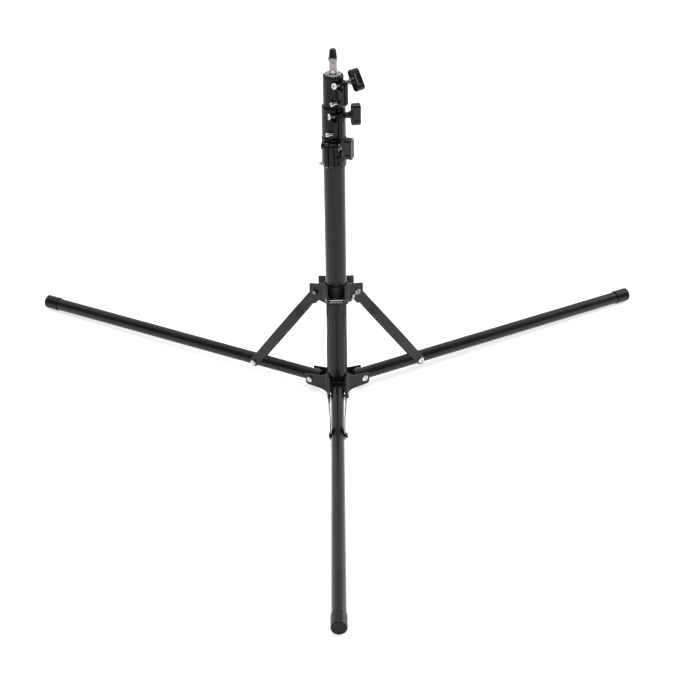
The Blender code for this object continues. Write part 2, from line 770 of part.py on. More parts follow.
def hub_side_outline():
    """Side view of a hub ear: tall at the column, narrow at the leg's bolt."""
    tip = HUB_PIVOT_RADIUS + HUB_EAR_REACH
    middle = (HUB_NECK_RADIUS + HUB_SHOULDER_RADIUS) / 2
    top = curve_through(
        (HUB_SHOULDER_RADIUS, HUB_ROOT_TOP), (middle, HUB_NECK_TOP),
        (HUB_NECK_RADIUS, HUB_NECK_TOP))
    bottom = curve_through(
        (HUB_NECK_RADIUS, -HUB_NECK_BOTTOM), (middle, -HUB_NECK_BOTTOM),
        (HUB_SHOULDER_RADIUS, -HUB_ROOT_BOTTOM))
    return [
        (0, HUB_ROOT_TOP), *top, (tip, HUB_TIP_TOP), (tip, HUB_TIP_CHAMFER - HUB_TIP_BOTTOM),
        (tip - HUB_TIP_CHAMFER, -HUB_TIP_BOTTOM), *bottom, (0, -HUB_ROOT_BOTTOM)]


def slider_side_outline():
    """Side view of a slider ear: a square tip that reaches down, and an arch inside it."""
    tip = SLIDER_PIVOT_RADIUS + SLIDER_EAR_REACH
    return [
        (0, SLIDER_ROOT_TOP), (COLUMN_RADIUS, SLIDER_ROOT_TOP), (tip, SLIDER_TIP_TOP),
        (tip, -SLIDER_TIP_BOTTOM), (tip - SLIDER_FOOT_WIDTH, -SLIDER_TIP_BOTTOM),
        (SLIDER_ARCH_RADIUS, -SLIDER_ARCH_BOTTOM), (COLUMN_RADIUS, -SLIDER_ROOT_BOTTOM),
        (0, -SLIDER_ROOT_BOTTOM)]


def bolt_mesh(half_grip, washer_low=0.0, washer_thickness=0.0):
    """Pivot bolt along Z with its nut: head above the grip, nut below it.

    A washer thickness puts a washer on each side of the middle, from the low height outwards.
    """
    end = -half_grip - NUT_HEIGHT - BOLT_TIP
    washer_high = washer_low + washer_thickness
    profile = [
        (radius, half_grip + height)
        for radius, height in pan_head(BOLT_HEAD_RADIUS, BOLT_HEAD_HEIGHT, BOLT_HEAD_DOME)]
    profile.append((BOLT_RADIUS, half_grip))
    if washer_thickness:
        for high, low in ((washer_high, washer_low), (-washer_low, -washer_high)):
            profile += [
                (BOLT_RADIUS, high), (HUB_WASHER_RADIUS, high), (HUB_WASHER_RADIUS, low),
                (BOLT_RADIUS, low)]
    profile += [(BOLT_RADIUS, end), (0, end)]
    return join(turned(profile, BOLT_STEPS), rod(NUT_RADIUS, -half_grip - NUT_HEIGHT, -half_grip, 6))


def leg_frame_matrix(azimuth, radius, height):
    """Place of a pivot: X away from the column, Y across the leg."""
    return Matrix.Rotation(azimuth, 4, "Z") @ Matrix.Translation((radius, 0, height))


def build_hub(frame):
    """Folded plates, each with a web across one leg's gap, and the legs' pivot bolts."""
    inner = hub_ear_inner()
    web_low = COLUMN_RADIUS + 2 * GAP
    web = box(
        (web_low, GAP - inner, -WEB_BOTTOM),
        (web_low + WEB_THICKNESS, inner + PLATE_THICKNESS / 2, WEB_TOP))
    web = moved(web, Matrix.Rotation(radians(-60), 4, "Z"))
    across = Matrix.Rotation(radians(90), 4, "X")
    pivot = Matrix.Translation((HUB_PIVOT_RADIUS, 0, 0)) @ across
    hole = moved(rod(BOLT_RADIUS + GAP, -WIDE, WIDE), pivot)
    mesh = join(folded_plate(inner, COLUMN_RADIUS, hub_side_outline(), hole), web)
    for number, azimuth in enumerate(PLATE_AZIMUTHS, 1):
        place = leg_frame_matrix(azimuth, 0, HUB_PIVOT_Z)
        add_piece(f"hub_plate_{number}", mesh, "satin_black", frame, place)

    bolt = bolt_mesh(inner + PLATE_THICKNESS + GAP, LEG_RADIUS + GAP, HUB_WASHER)
    for number, azimuth in enumerate(LEG_AZIMUTHS, 1):
        place = leg_frame_matrix(azimuth, HUB_PIVOT_RADIUS, HUB_PIVOT_Z) @ across
        add_piece(f"hub_bolt_{number}", bolt, "chrome", frame, place)


def leg_meshes():
    """Tube, foot cap, plug and strut bolt of a leg whose hub bolt is at the origin, along +X."""
    along = Matrix.Rotation(radians(90), 4, "Y")
    across = Matrix.Rotation(radians(90), 4, "X")
    hub_hole = moved(rod(BOLT_RADIUS + GAP, -WIDE, WIDE), across)
    strut_bolt = Matrix.Translation((STRUT_BOLT_REACH, 0, 0))
    strut_hole = moved(hub_hole, strut_bolt)

    tube_end = LEG_LENGTH - FOOT_END_WALL - GAP
    leg_tube = moved(tube(LEG_RADIUS, LEG_WALL, -LEG_TAIL, tube_end, LEG_STEPS), along)
    leg_tube = cut(leg_tube, hub_hole, strut_hole)

    bore = LEG_RADIUS + GAP
    outer = bore + FOOT_WALL
    foot_low = LEG_LENGTH - FOOT_LENGTH
    edge = arc((outer - FOOT_EDGE, LEG_LENGTH - FOOT_EDGE), FOOT_EDGE, pi / 2, 0, CORNER_STEPS)
    foot = turned([
        (0, LEG_LENGTH), *edge, (outer, foot_low), (bore, foot_low),
        (bore, LEG_LENGTH - FOOT_END_WALL), (0, LEG_LENGTH - FOOT_END_WALL)], LEG_STEPS)

    plug_fit = LEG_RADIUS - LEG_WALL - GAP
    flange = -LEG_TAIL - GAP
    plug = turned([
        (0, LEG_PLUG_DEPTH), (plug_fit, LEG_PLUG_DEPTH), (plug_fit, flange),
        (LEG_RADIUS, flange), (LEG_RADIUS, flange - LEG_PLUG_FLANGE),
        (0, flange - LEG_PLUG_FLANGE)], LEG_STEPS)
    plug = cut(moved(plug, along), moved(rod(BOLT_RADIUS + GAP, -WIDE, WIDE), across))

    bolt = moved(bolt_mesh(strip_inner() + STRIP_THICKNESS + GAP), strut_bolt @ across)
    return {
        "tube": (leg_tube, "gloss_black"), "foot": (moved(foot, along), "black_rubber"),
        "plug": (plug, "black_plastic"), "strut_bolt": (bolt, "chrome")}


def strut_vector():
    """Way from a leg's strut bolt to the slider's pivot, as (outward, up)."""
    bolt_radius = HUB_PIVOT_RADIUS + STRUT_BOLT_REACH * cos(LEG_SLOPE)
    bolt_height = HUB_PIVOT_Z - STRUT_BOLT_REACH * sin(LEG_SLOPE)
    return SLIDER_PIVOT_RADIUS - bolt_radius, SLIDER_PIVOT_Z - bolt_height


def strut_meshes():
    """Two flared strips and the spacer pin; the leg's bolt is at the origin, the pin on +X."""
    length = hypot(*strut_vector())
    end = STRIP_WIDTH / 2
    pinched = strip_inner() + STRIP_THICKNESS / 2
    flared = pinched + STRIP_FLARE
    path = [
        (-2 * end, pinched), (STRIP_LEG_PINCH, pinched),
        (STRIP_LEG_PINCH + STRIP_LEG_TAPER, flared),
        (length - STRIP_SLIDER_PINCH - STRIP_SLIDER_TAPER, flared),
        (length - STRIP_SLIDER_PINCH, pinched), (length + 2 * end, pinched)]
    bent = plate(ribbon(path, STRIP_THICKNESS), 2 * STRIP_WIDTH)
    outline = (
        arc((0, 0), end, pi / 2, 3 * pi / 2, 2 * CORNER_STEPS)
        + arc((length, 0), end, -pi / 2, pi / 2, 2 * CORNER_STEPS))
    holes = [circle((0, 0), BOLT_RADIUS + GAP), circle((length, 0), BOLT_RADIUS + GAP)]
    left = common(bent, upright(plate(outline, WIDE, holes)))
    right = weld(moved(left, Matrix.Diagonal((1, -1, 1, 1))))

    body = strip_inner() - GAP
    pin_end = strip_inner() + STRIP_THICKNESS
    spacer = turned([
        (0, pin_end), (BOLT_RADIUS, pin_end), (BOLT_RADIUS, body), (SPACER_RADIUS, body),
        (SPACER_RADIUS, -body), (BOLT_RADIUS, -body), (BOLT_RADIUS, -pin_end), (0, -pin_end)],
        BOLT_STEPS)
    place = Matrix.Translation((length, 0, 0)) @ Matrix.Rotation(radians(90), 4, "X")
    return {
        "left_strip": (left, "satin_black"), "right_strip": (right, "satin_black"),
        "spacer": (moved(spacer, place), "chrome")}


def build_legs():
    """Legs on their hub pivots, each carrying its strut."""
    legs = leg_meshes()
    struts = strut_meshes()
    outward, up = strut_vector()
    rise = atan2(up, outward) + LEG_SLOPE
    for number, azimuth in enumerate(LEG_AZIMUTHS, 1):
        slope = Matrix.Rotation(LEG_SLOPE, 4, "Y")
        place = leg_frame_matrix(azimuth, HUB_PIVOT_RADIUS, HUB_PIVOT_Z) @ slope
        leg = add_frame(f"leg_{number}_pivot", None, place)
        for name, (mesh, finish) in legs.items():
            add_piece(f"leg_{number}_{name}", mesh, finish, leg)
        bolt = Matrix.Translation((STRUT_BOLT_REACH, 0, 0)) @ Matrix.Rotation(-rise, 4, "Y")
        strut = add_frame(f"strut_{number}_pivot", leg, bolt)
        for name, (mesh, finish) in struts.items():
            add_piece(f"strut_{number}_{name}", mesh, finish, strut)


def slider_studs():
    """Headed stub and nutted stub of the slider's pivots, along Z, to be fixed in its ears."""
    ear = slider_ear_inner() + PLATE_THICKNESS
    tip = strip_inner() + STRIP_THICKNESS + GAP
    head = pan_head(BOLT_HEAD_RADIUS, BOLT_HEAD_HEIGHT, BOLT_HEAD_DOME)
    headed = turned(
        [(radius, ear + height) for radius, height in head]
        + [(BOLT_HEAD_RADIUS, ear - PLATE_THICKNESS / 2), (BOLT_RADIUS, ear - PLATE_THICKNESS / 2),
           (BOLT_RADIUS, tip), (0, tip)], BOLT_STEPS)
    nutted = join(
        rod(NUT_RADIUS, -ear - NUT_HEIGHT, PLATE_THICKNESS / 2 - ear, 6),
        rod(BOLT_RADIUS, -ear - NUT_HEIGHT - BOLT_TIP, -tip))
    return headed, nutted


def slider_bracket():
    """Band, three folded plates and six pivot studs in one piece, with the clamp slit."""
    bore = COLUMN_RADIUS + GAP + SLIDER_BUSH_WALL + GAP
    band = tube(bore + SLIDER_BAND_WALL, SLIDER_BAND_WALL, -SLIDER_ROOT_BOTTOM, SLIDER_ROOT_TOP)
    folded = folded_plate(slider_ear_inner(), bore - GAP, slider_side_outline())
    plates = [moved(folded, Matrix.Rotation(azimuth, 4, "Z")) for azimuth in PLATE_AZIMUTHS]
    slit = box((0, -SLIDER_SLIT / 2, -WIDE / 2), (SLIDER_PIVOT_RADIUS, SLIDER_SLIT / 2, WIDE / 2))
    slit = moved(slit, Matrix.Rotation(PLATE_AZIMUTHS[0], 4, "Z"))
    holes = [
        moved(rod(SLIDER_SCREW_RADIUS + GAP, 0, WIDE), place) for place in clamp_screw_places()]
    across = Matrix.Rotation(radians(90), 4, "X")
    studs = [
        moved(stud, leg_frame_matrix(azimuth, SLIDER_PIVOT_RADIUS, 0) @ across)
        for azimuth in LEG_AZIMUTHS for stud in slider_studs()]
    return join(cut(join(band, *plates), slit, *holes), *studs)


def clamp_screw_places():
    """Places of the two clamp screws, in the ear of leg 2 that faces leg 1."""
    leg = Matrix.Rotation(LEG_AZIMUTHS[1], 4, "Z")
    across = Matrix.Rotation(radians(90), 4, "X")
    upper = Vector((SLIDER_PIVOT_RADIUS - SLIDER_SCREW_INSET, 0, -SLIDER_SCREW_DROP))
    lower = upper - Vector((SLIDER_SCREW_SLANT, 0, SLIDER_SCREW_PITCH))
    return [leg @ Matrix.Translation(place) @ across for place in (upper, lower)]


def build_slider(frame):
    """Sliding collar: bracket, bush and clamp screws."""
    add_piece("slider_bracket", slider_bracket(), "satin_black", frame)
    bush_radius = COLUMN_RADIUS + GAP + SLIDER_BUSH_WALL
    bush = tube(bush_radius, SLIDER_BUSH_WALL, -SLIDER_ROOT_BOTTOM, SLIDER_BUSH_TOP)
    add_piece("slider_bush", bush, "black_plastic", frame)

    outer = slider_ear_inner() + PLATE_THICKNESS + GAP
    tip = slider_ear_inner() - SLIDER_SCREW_TIP
    head = pan_head(
        SLIDER_SCREW_HEAD_RADIUS, SLIDER_SCREW_HEAD_HEIGHT, SLIDER_SCREW_HEAD_HEIGHT / 2)
    screw = turned(
        [(radius, outer + height) for radius, height in head]
        + [(SLIDER_SCREW_RADIUS, outer), (SLIDER_SCREW_RADIUS, tip), (0, tip)], BOLT_STEPS)
    for number, place in enumerate(clamp_screw_places(), 1):
        add_piece(f"slider_clamp_screw_{number}", moved(screw, place), "zinc", frame)


def build_column():
    """Nested tubes, each with the collar that clamps the next one, and the stud on top."""
    frames = [add_frame("column", None, Matrix())]
    names = ("outer_tube", "tube_2", "tube_3", "tube_4")
    for stage, name in enumerate(names):
        if stage > 0:
            frames.append(add_frame(name + "_slide", frames[-1], Matrix()))
        build_tube(stage, name, frames[-1])
    build_column_plug(frames[0])
    for collar in (LOWER_COLLAR, MIDDLE_COLLAR, TOP_COLLAR):
        build_collar(collar, frames[collar.stage])
    cap_seat = build_spigot(frames[3])
    cap_frame = add_frame("thread_cap_slide", frames[3], Matrix())
    build_thread_cap(cap_frame, cap_seat)
    return frames[0]


clear_scene()
parts = add_collection(OBJECT_NAME)
helpers = add_collection(OBJECT_NAME + "_cutters")
materials = {name: add_material(name, *finish) for name, finish in FINISHES.items()}

column = build_column()
build_hub(column)
build_legs()
build_slider(add_frame("slider_slide", column, Matrix.Translation((0, 0, SLIDER_PIVOT_Z))))
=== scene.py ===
"""Looks of the reverse folding light stand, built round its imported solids.

Four nested column tubes with moulded clamp collars and T-knobs, a chrome stud with a
thread cap, a hub of folded plates, three legs with rubber feet, and struts to a sliding
collar. Sizes are metres, +Z is up, and leg 1 points at the camera.
"""

import logging
from dataclasses import dataclass, field
from enum import Enum
from math import atan2, cos, hypot, pi, radians, sin, tan
from typing import Sequence

import bmesh
import bpy
from mathutils import Matrix, Vector

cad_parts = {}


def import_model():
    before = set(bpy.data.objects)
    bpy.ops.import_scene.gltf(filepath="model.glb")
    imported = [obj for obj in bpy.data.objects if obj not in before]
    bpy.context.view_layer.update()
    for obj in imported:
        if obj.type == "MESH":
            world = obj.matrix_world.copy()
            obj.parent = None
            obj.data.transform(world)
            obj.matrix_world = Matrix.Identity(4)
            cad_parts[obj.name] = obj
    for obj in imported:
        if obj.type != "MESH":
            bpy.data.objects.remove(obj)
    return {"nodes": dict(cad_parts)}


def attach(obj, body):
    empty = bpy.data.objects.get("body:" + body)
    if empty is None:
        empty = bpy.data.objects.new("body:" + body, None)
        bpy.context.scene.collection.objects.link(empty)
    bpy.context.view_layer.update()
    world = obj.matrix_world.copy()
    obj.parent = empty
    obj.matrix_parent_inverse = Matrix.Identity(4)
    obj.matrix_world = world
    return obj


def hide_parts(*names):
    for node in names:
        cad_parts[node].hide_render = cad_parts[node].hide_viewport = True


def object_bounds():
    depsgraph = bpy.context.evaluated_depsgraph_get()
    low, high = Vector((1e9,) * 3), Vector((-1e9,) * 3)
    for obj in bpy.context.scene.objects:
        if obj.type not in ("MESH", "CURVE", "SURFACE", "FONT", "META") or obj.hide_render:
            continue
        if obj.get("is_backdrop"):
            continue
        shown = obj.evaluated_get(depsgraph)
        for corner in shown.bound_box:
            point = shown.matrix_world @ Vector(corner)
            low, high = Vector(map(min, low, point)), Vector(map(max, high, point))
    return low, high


log = logging.getLogger("light_stand")

Point = tuple[float, float]
Piece = bpy.types.Object
Socket = bpy.types.NodeSocket
Value = Socket | float | Sequence[float]

GAP = 0.0003
WIDE = 0.2
COLUMN_RADIUS = 0.0175
TUBE_STEP = 0.0025
HOLE_RADIUS = 0.0033
LEG_AZIMUTHS = tuple(radians(-90 + 120 * number) for number in range(3))
PLATE_AZIMUTHS = tuple(azimuth + radians(60) for azimuth in LEG_AZIMUTHS)
ACROSS = Matrix.Rotation(radians(90), 4, "X")
ALONG = Matrix.Rotation(radians(90), 4, "Y")


class Coat(Enum):
    """The finishes of the stand, by the names of the record's material slots."""

    GLOSS_BLACK = "gloss_black"
    SATIN_BLACK = "satin_black"
    BLACK_PLASTIC = "black_plastic"
    BLACK_RUBBER = "black_rubber"
    GREY_NYLON = "grey_nylon"
    CHROME = "chrome"
    ZINC = "zinc"


# Outlines


def arc(centre: Point, radius: float, start: float, end: float, steps: int) -> list[Point]:
    """Points on an arc between two angles, both ends included.

    Args:
        centre: Centre of the arc.
        radius: Radius of the arc.
        start: Angle of the first point.
        end: Angle of the last point.
        steps: Number of straight runs.

    Returns:
        The points, one more than the steps.
    """
    turns = [start + (end - start) * step / steps for step in range(steps + 1)]
    return [(centre[0] + radius * cos(turn), centre[1] + radius * sin(turn)) for turn in turns]


def curve_through(start: Point, control: Point, end: Point, steps: int = 6) -> list[Point]:
    """Points of a quadratic curve that leaves and arrives towards its control point.

    Args:
        start: First point.
        control: Point that the curve bends towards.
        end: Last point.
        steps: Number of straight runs.

    Returns:
        The points, one more than the steps.
    """
    points = []
    for step in range(steps + 1):
        share = step / steps
        weights = ((1 - share) ** 2, 2 * share * (1 - share), share ** 2)
        points.append(tuple(
            sum(weight * point[axis] for weight, point in zip(weights, (start, control, end)))
            for axis in (0, 1)))
    return points


def eased(line: Sequence[Point], radius: float, closed: bool = False,
          steps: int = 3) -> list[Point]:
    """Rounds the corners of a line of points.

    Args:
        line: The points.
        radius: How far from each corner the rounding starts, at most.
        closed: Whether the line closes, so that its first and last points are corners too.
        steps: Straight runs in each rounded corner.

    Returns:
        The points of the rounded line.
    """
    points = [Vector(point) for point in line]
    if closed:
        points = [points[-1], *points, points[0]]
    rounded = [] if closed else [tuple(points[0])]
    for before, corner, after in zip(points, points[1:], points[2:]):
        back, ahead = before - corner, after - corner
        reach = min(radius, 0.45 * back.length, 0.45 * ahead.length)
        rounded += curve_through(
            corner + back.normalized() * reach, corner, corner + ahead.normalized() * reach, steps)
    if not closed:
        rounded.append(tuple(points[-1]))
    return rounded


def rounded_rectangle(width: float, height: float, corner: float, steps: int = 8) -> list[Point]:
    """Outline of a rectangle with round corners, centred on the origin.

    Args:
        width: Size along X.
        height: Size along Y.
        corner: Radius of the corners.
        steps: Straight runs in each corner.

    Returns:
        The points of the closed outline.
    """
    across, up = width / 2 - corner, height / 2 - corner
    points = []
    for quarter, centre in enumerate(((across, up), (-across, up), (-across, -up), (across, -up))):
        start = quarter * pi / 2
        points += arc(centre, corner, start, start + pi / 2, steps)
    return points


def ribbon(path: Sequence[Point], thickness: float) -> list[Point]:
    """Outline of a bent strip of even thickness.

    Args:
        path: Middle line of the strip.
        thickness: Thickness of the strip.

    Returns:
        The points of the closed outline.
    """
    points = [Vector(point) for point in path]
    runs = [(after - before).normalized() for before, after in zip(points, points[1:])]
    left, right = [], []
    for index, point in enumerate(points):
        before, after = runs[max(index - 1, 0)], runs[min(index, len(runs) - 1)]
        side = Vector((-before.y - after.y, before.x + after.x)).normalized()
        offset = side * (thickness / 2) / side.dot(Vector((-after.y, after.x)))
        left.append(tuple(point + offset))
        right.append(tuple(point - offset))
    return left + right[::-1]


def thread(radius: float, high: float, low: float, pitch: float = 0.0008) -> list[Point]:
    """Profile of a screw thread, from its upper end down.

    Args:
        radius: Radius over the crests.
        high: Height of the upper end.
        low: Height of the lower end.
        pitch: Height of one turn.

    Returns:
        Points of (radius, height) that run down the thread.
    """
    turns = max(1, round((high - low) / pitch))
    step = (high - low) / turns
    points = [(radius, high)]
    for turn in range(turns):
        top = high - turn * step
        points += [(radius - 0.00035, top - step / 2), (radius, top - step)]
    return points


# Modelling


class Bench:
    """Modelling moves, each made with Blender's own operators."""

    @staticmethod
    def take(*pieces: Piece) -> None:
        """Selects these pieces only; the first one becomes active.

        Args:
            pieces: The pieces, or none to select nothing.
        """
        bpy.ops.object.select_all(action="DESELECT")
        for piece in pieces:
            piece.select_set(True)
        if pieces:
            bpy.context.view_layer.objects.active = pieces[0]

    @staticmethod
    def fresh(name: str) -> Piece:
        """Names the primitive that was just added and returns it.

        Args:
            name: Name that it gets.

        Returns:
            The primitive.
        """
        piece = bpy.context.view_layer.objects.active
        piece.name = piece.data.name = name
        return piece

    @staticmethod
    def mode(name: str) -> None:
        """Enters a mode, such as EDIT, for the active piece."""
        bpy.ops.object.mode_set(mode=name)

    @staticmethod
    def line(name: str, points: Sequence[Sequence[float]]) -> Piece:
        """Draws a line of edges and stays in edit mode, all of it selected.

        Args:
            name: Name of the piece.
            points: Places of its corners.

        Returns:
            The piece.
        """
        Bench.take()
        bpy.ops.mesh.primitive_plane_add(size=0.001)
        piece = Bench.fresh(name)
        Bench.mode("EDIT")
        bpy.ops.mesh.select_all(action="SELECT")
        bpy.ops.mesh.merge(type="CENTER")
        here = Vector()
        for number, point in enumerate(points):
            step = Vector(point) - here
            if number == 0:
                bpy.ops.transform.translate(value=step)
            else:
                bpy.ops.mesh.extrude_vertices_move(TRANSFORM_OT_translate={"value": step})
            here = Vector(point)
        bpy.ops.mesh.select_all(action="SELECT")
        return piece

    @staticmethod
    def close_up() -> None:
        """Merges doubled corners, turns faces outwards and leaves edit mode."""
        bpy.ops.mesh.select_all(action="SELECT")
        bpy.ops.mesh.remove_doubles(threshold=1e-6)
        bpy.ops.mesh.normals_make_consistent(inside=False)
        Bench.mode("OBJECT")

    @staticmethod
    def turn(name: str, profile: Sequence[Point], steps: int = 48) -> Piece:
        """Turns a profile about +Z.

        Args:
            name: Name of the piece.
            profile: Points of (radius, height). They close into a ring unless the first one
                lies on the axis.
            steps: Steps round the axis.

        Returns:
            The closed piece.
        """
        points = [(radius, 0, height) for radius, height in profile]
        if profile[0][0] > 0:
            points.append(points[0])
        piece = Bench.line(name, points)
        bpy.ops.mesh.spin(steps=steps, angle=2 * pi, center=(0, 0, 0), axis=(0, 0, 1))
        Bench.close_up()
        return piece

    @staticmethod
    def slab(name: str, outline: Sequence[Point], low: float, high: float) -> Piece:
        """Extrudes a closed outline in the XY plane from one height to another.

        Args:
            name: Name of the piece.
            outline: Points of (x, y).
            low: Height of the underside.
            high: Height of the upper side.

        Returns:
            The closed piece.
        """
        piece = Bench.line(name, [(x, y, low) for x, y in (*outline, outline[0])])
        bpy.ops.mesh.remove_doubles(threshold=1e-6)
        bpy.ops.mesh.edge_face_add()
        bpy.ops.mesh.extrude_region_move(
            TRANSFORM_OT_translate={"value": (0, 0, high - low)})
        Bench.close_up()
        return piece

    @staticmethod
    def rod(name: str, radius: float, low: float, high: float, steps: int = 48) -> Piece:
        """Adds a cylinder along Z between two heights, as a cutter or a starting shape.

        Args:
            name: Name of the piece.
            radius: Radius of the cylinder.
            low: Height of its lower end.
            high: Height of its upper end.
            steps: Number of its sides.

        Returns:
            The cylinder.
        """
        Bench.take()
        bpy.ops.mesh.primitive_cylinder_add(
            vertices=steps, radius=radius, depth=high - low, location=(0, 0, (low + high) / 2))
        return Bench.place(Bench.fresh(name))

    @staticmethod
    def block(name: str, low: Sequence[float], high: Sequence[float]) -> Piece:
        """Adds a box between two corners, as a cutter or a starting shape.

        Args:
            name: Name of the piece.
            low: Its lowest corner.
            high: Its highest corner.

        Returns:
            The box.
        """
        low, high = Vector(low), Vector(high)
        Bench.take()
        bpy.ops.mesh.primitive_cube_add(size=1, location=(low + high) / 2, scale=high - low)
        return Bench.place(Bench.fresh(name))

    @staticmethod
    def place(piece: Piece, matrix: Matrix | None = None) -> Piece:
        """Puts a piece somewhere, with its place in its mesh and its object at the origin.

        Args:
            piece: The piece.
            matrix: Where it goes, or None where it stays.

        Returns:
            The piece.
        """
        Bench.take(piece)
        if matrix is not None:
            piece.matrix_world = matrix
        bpy.ops.object.transform_apply(location=True, rotation=True, scale=True)
        return piece

    @staticmethod
    def twin(piece: Piece, name: str, matrix: Matrix) -> Piece:
        """Copies a piece, with a mesh of its own, to another place.

        Args:
            piece: The piece that is copied.
            name: Name of the copy.
            matrix: Where the copy goes.

        Returns:
            The copy.
        """
        copy = piece.copy()
        copy.data = piece.data.copy()
        copy.name = copy.data.name = name
        bpy.context.collection.objects.link(copy)
        return Bench.place(copy, matrix)

    @staticmethod
    def drop(*pieces: Piece) -> None:
        """Removes pieces that only shaped others."""
        for piece in pieces:
            bpy.data.objects.remove(piece, do_unlink=True)

    @staticmethod
    def boolean(piece: Piece, operation: str, tools: Sequence[Piece]) -> Piece:
        """Applies a Boolean with each tool in turn, and removes the tools.

        Args:
            piece: The piece that changes.
            operation: DIFFERENCE, UNION or INTERSECT.
            tools: The other shapes.

        Returns:
            The piece.
        """
        for tool in tools:
            modifier = piece.modifiers.new(operation.lower(), "BOOLEAN")
            modifier.operation = operation
            modifier.object = tool
            Bench.apply(piece, modifier)
            Bench.drop(tool)
            Bench.take(piece)
            Bench.mode("EDIT")
            Bench.close_up()
        return piece

    @staticmethod
    def cut(piece: Piece, *tools: Piece) -> Piece:
        """Takes the tools out of a piece."""
        return Bench.boolean(piece, "DIFFERENCE", tools)

    @staticmethod
    def unite(piece: Piece, *tools: Piece) -> Piece:
        """Makes one solid of a piece and the tools."""
        return Bench.boolean(piece, "UNION", tools)

    @staticmethod
    def common(piece: Piece, tool: Piece) -> Piece:
        """Keeps what a piece shares with the tool."""
        return Bench.boolean(piece, "INTERSECT", (tool,))

    @staticmethod
    def apply(piece: Piece, modifier: bpy.types.Modifier) -> None:
        """Applies one modifier of a piece."""
        Bench.take(piece)
        bpy.ops.object.modifier_apply(modifier=modifier.name)

    @staticmethod
    def round_edges(piece: Piece, width: float, segments: int = 3, limit: float = 40.0,
                    worn: bool = False) -> Piece:
        """Rounds the edges that are sharper than a limit.

        Args:
            piece: The piece.
            width: Width of the rounding.
            segments: Faces across the rounding.
            limit: Least angle, in degrees, of an edge that is rounded.
            worn: Whether the rounded faces take the piece's second material.

        Returns:
            The piece.
        """
        if worn:
            piece.data.materials.clear()
            piece.data.materials.append(None)
            piece.data.materials.append(None)
        modifier = piece.modifiers.new("rounding", "BEVEL")
        modifier.width = width
        modifier.segments = segments
        modifier.limit_method = "ANGLE"
        modifier.angle_limit = radians(limit)
        modifier.use_clamp_overlap = False
        modifier.material = 1 if worn else -1
        Bench.apply(piece, modifier)
        return piece

    @staticmethod
    def sink(piece: Piece, way: Vector, margin: float, depth: float, least: float) -> Piece:
        """Sinks a panel into each large flat face that looks one way or the opposite one.

        Args:
            piece: The piece.
            way: Direction that the faces look, or look away from.
            margin: Width of the frame that stays round each panel.
            depth: Depth of the panel.
            least: Least area of such a face.

        Returns:
            The piece.
        """
        Bench.take(piece)
        Bench.mode("EDIT")
        bpy.ops.mesh.select_mode(type="FACE")
        bpy.ops.mesh.select_all(action="DESELECT")
        shape = bmesh.from_edit_mesh(piece.data)
        for face in shape.faces:
            face.select = abs(face.normal.dot(way)) > 0.999 and face.calc_area() > least
        bmesh.update_edit_mesh(piece.data)
        bpy.ops.mesh.inset(thickness=margin, depth=0)
        bpy.ops.mesh.inset(thickness=abs(depth) * 0.6, depth=-depth)
        bpy.ops.mesh.select_mode(type="VERT")
        Bench.close_up()
        return piece

    @staticmethod
    def polish(piece: Piece, limit: float = 35.0) -> Piece:
        """Shades a piece smooth up to an angle and keeps its flat faces flat.

        Args:
            piece: The piece.
            limit: Greatest angle, in degrees, that is shaded smooth.

        Returns:
            The piece.
        """
        Bench.take(piece)
        bpy.ops.object.shade_smooth_by_angle(angle=radians(limit), keep_sharp_edges=False)
        modifier = piece.modifiers.new("flat_faces", "WEIGHTED_NORMAL")
        modifier.keep_sharp = True
        Bench.apply(piece, modifier)
        return piece


# Finishes


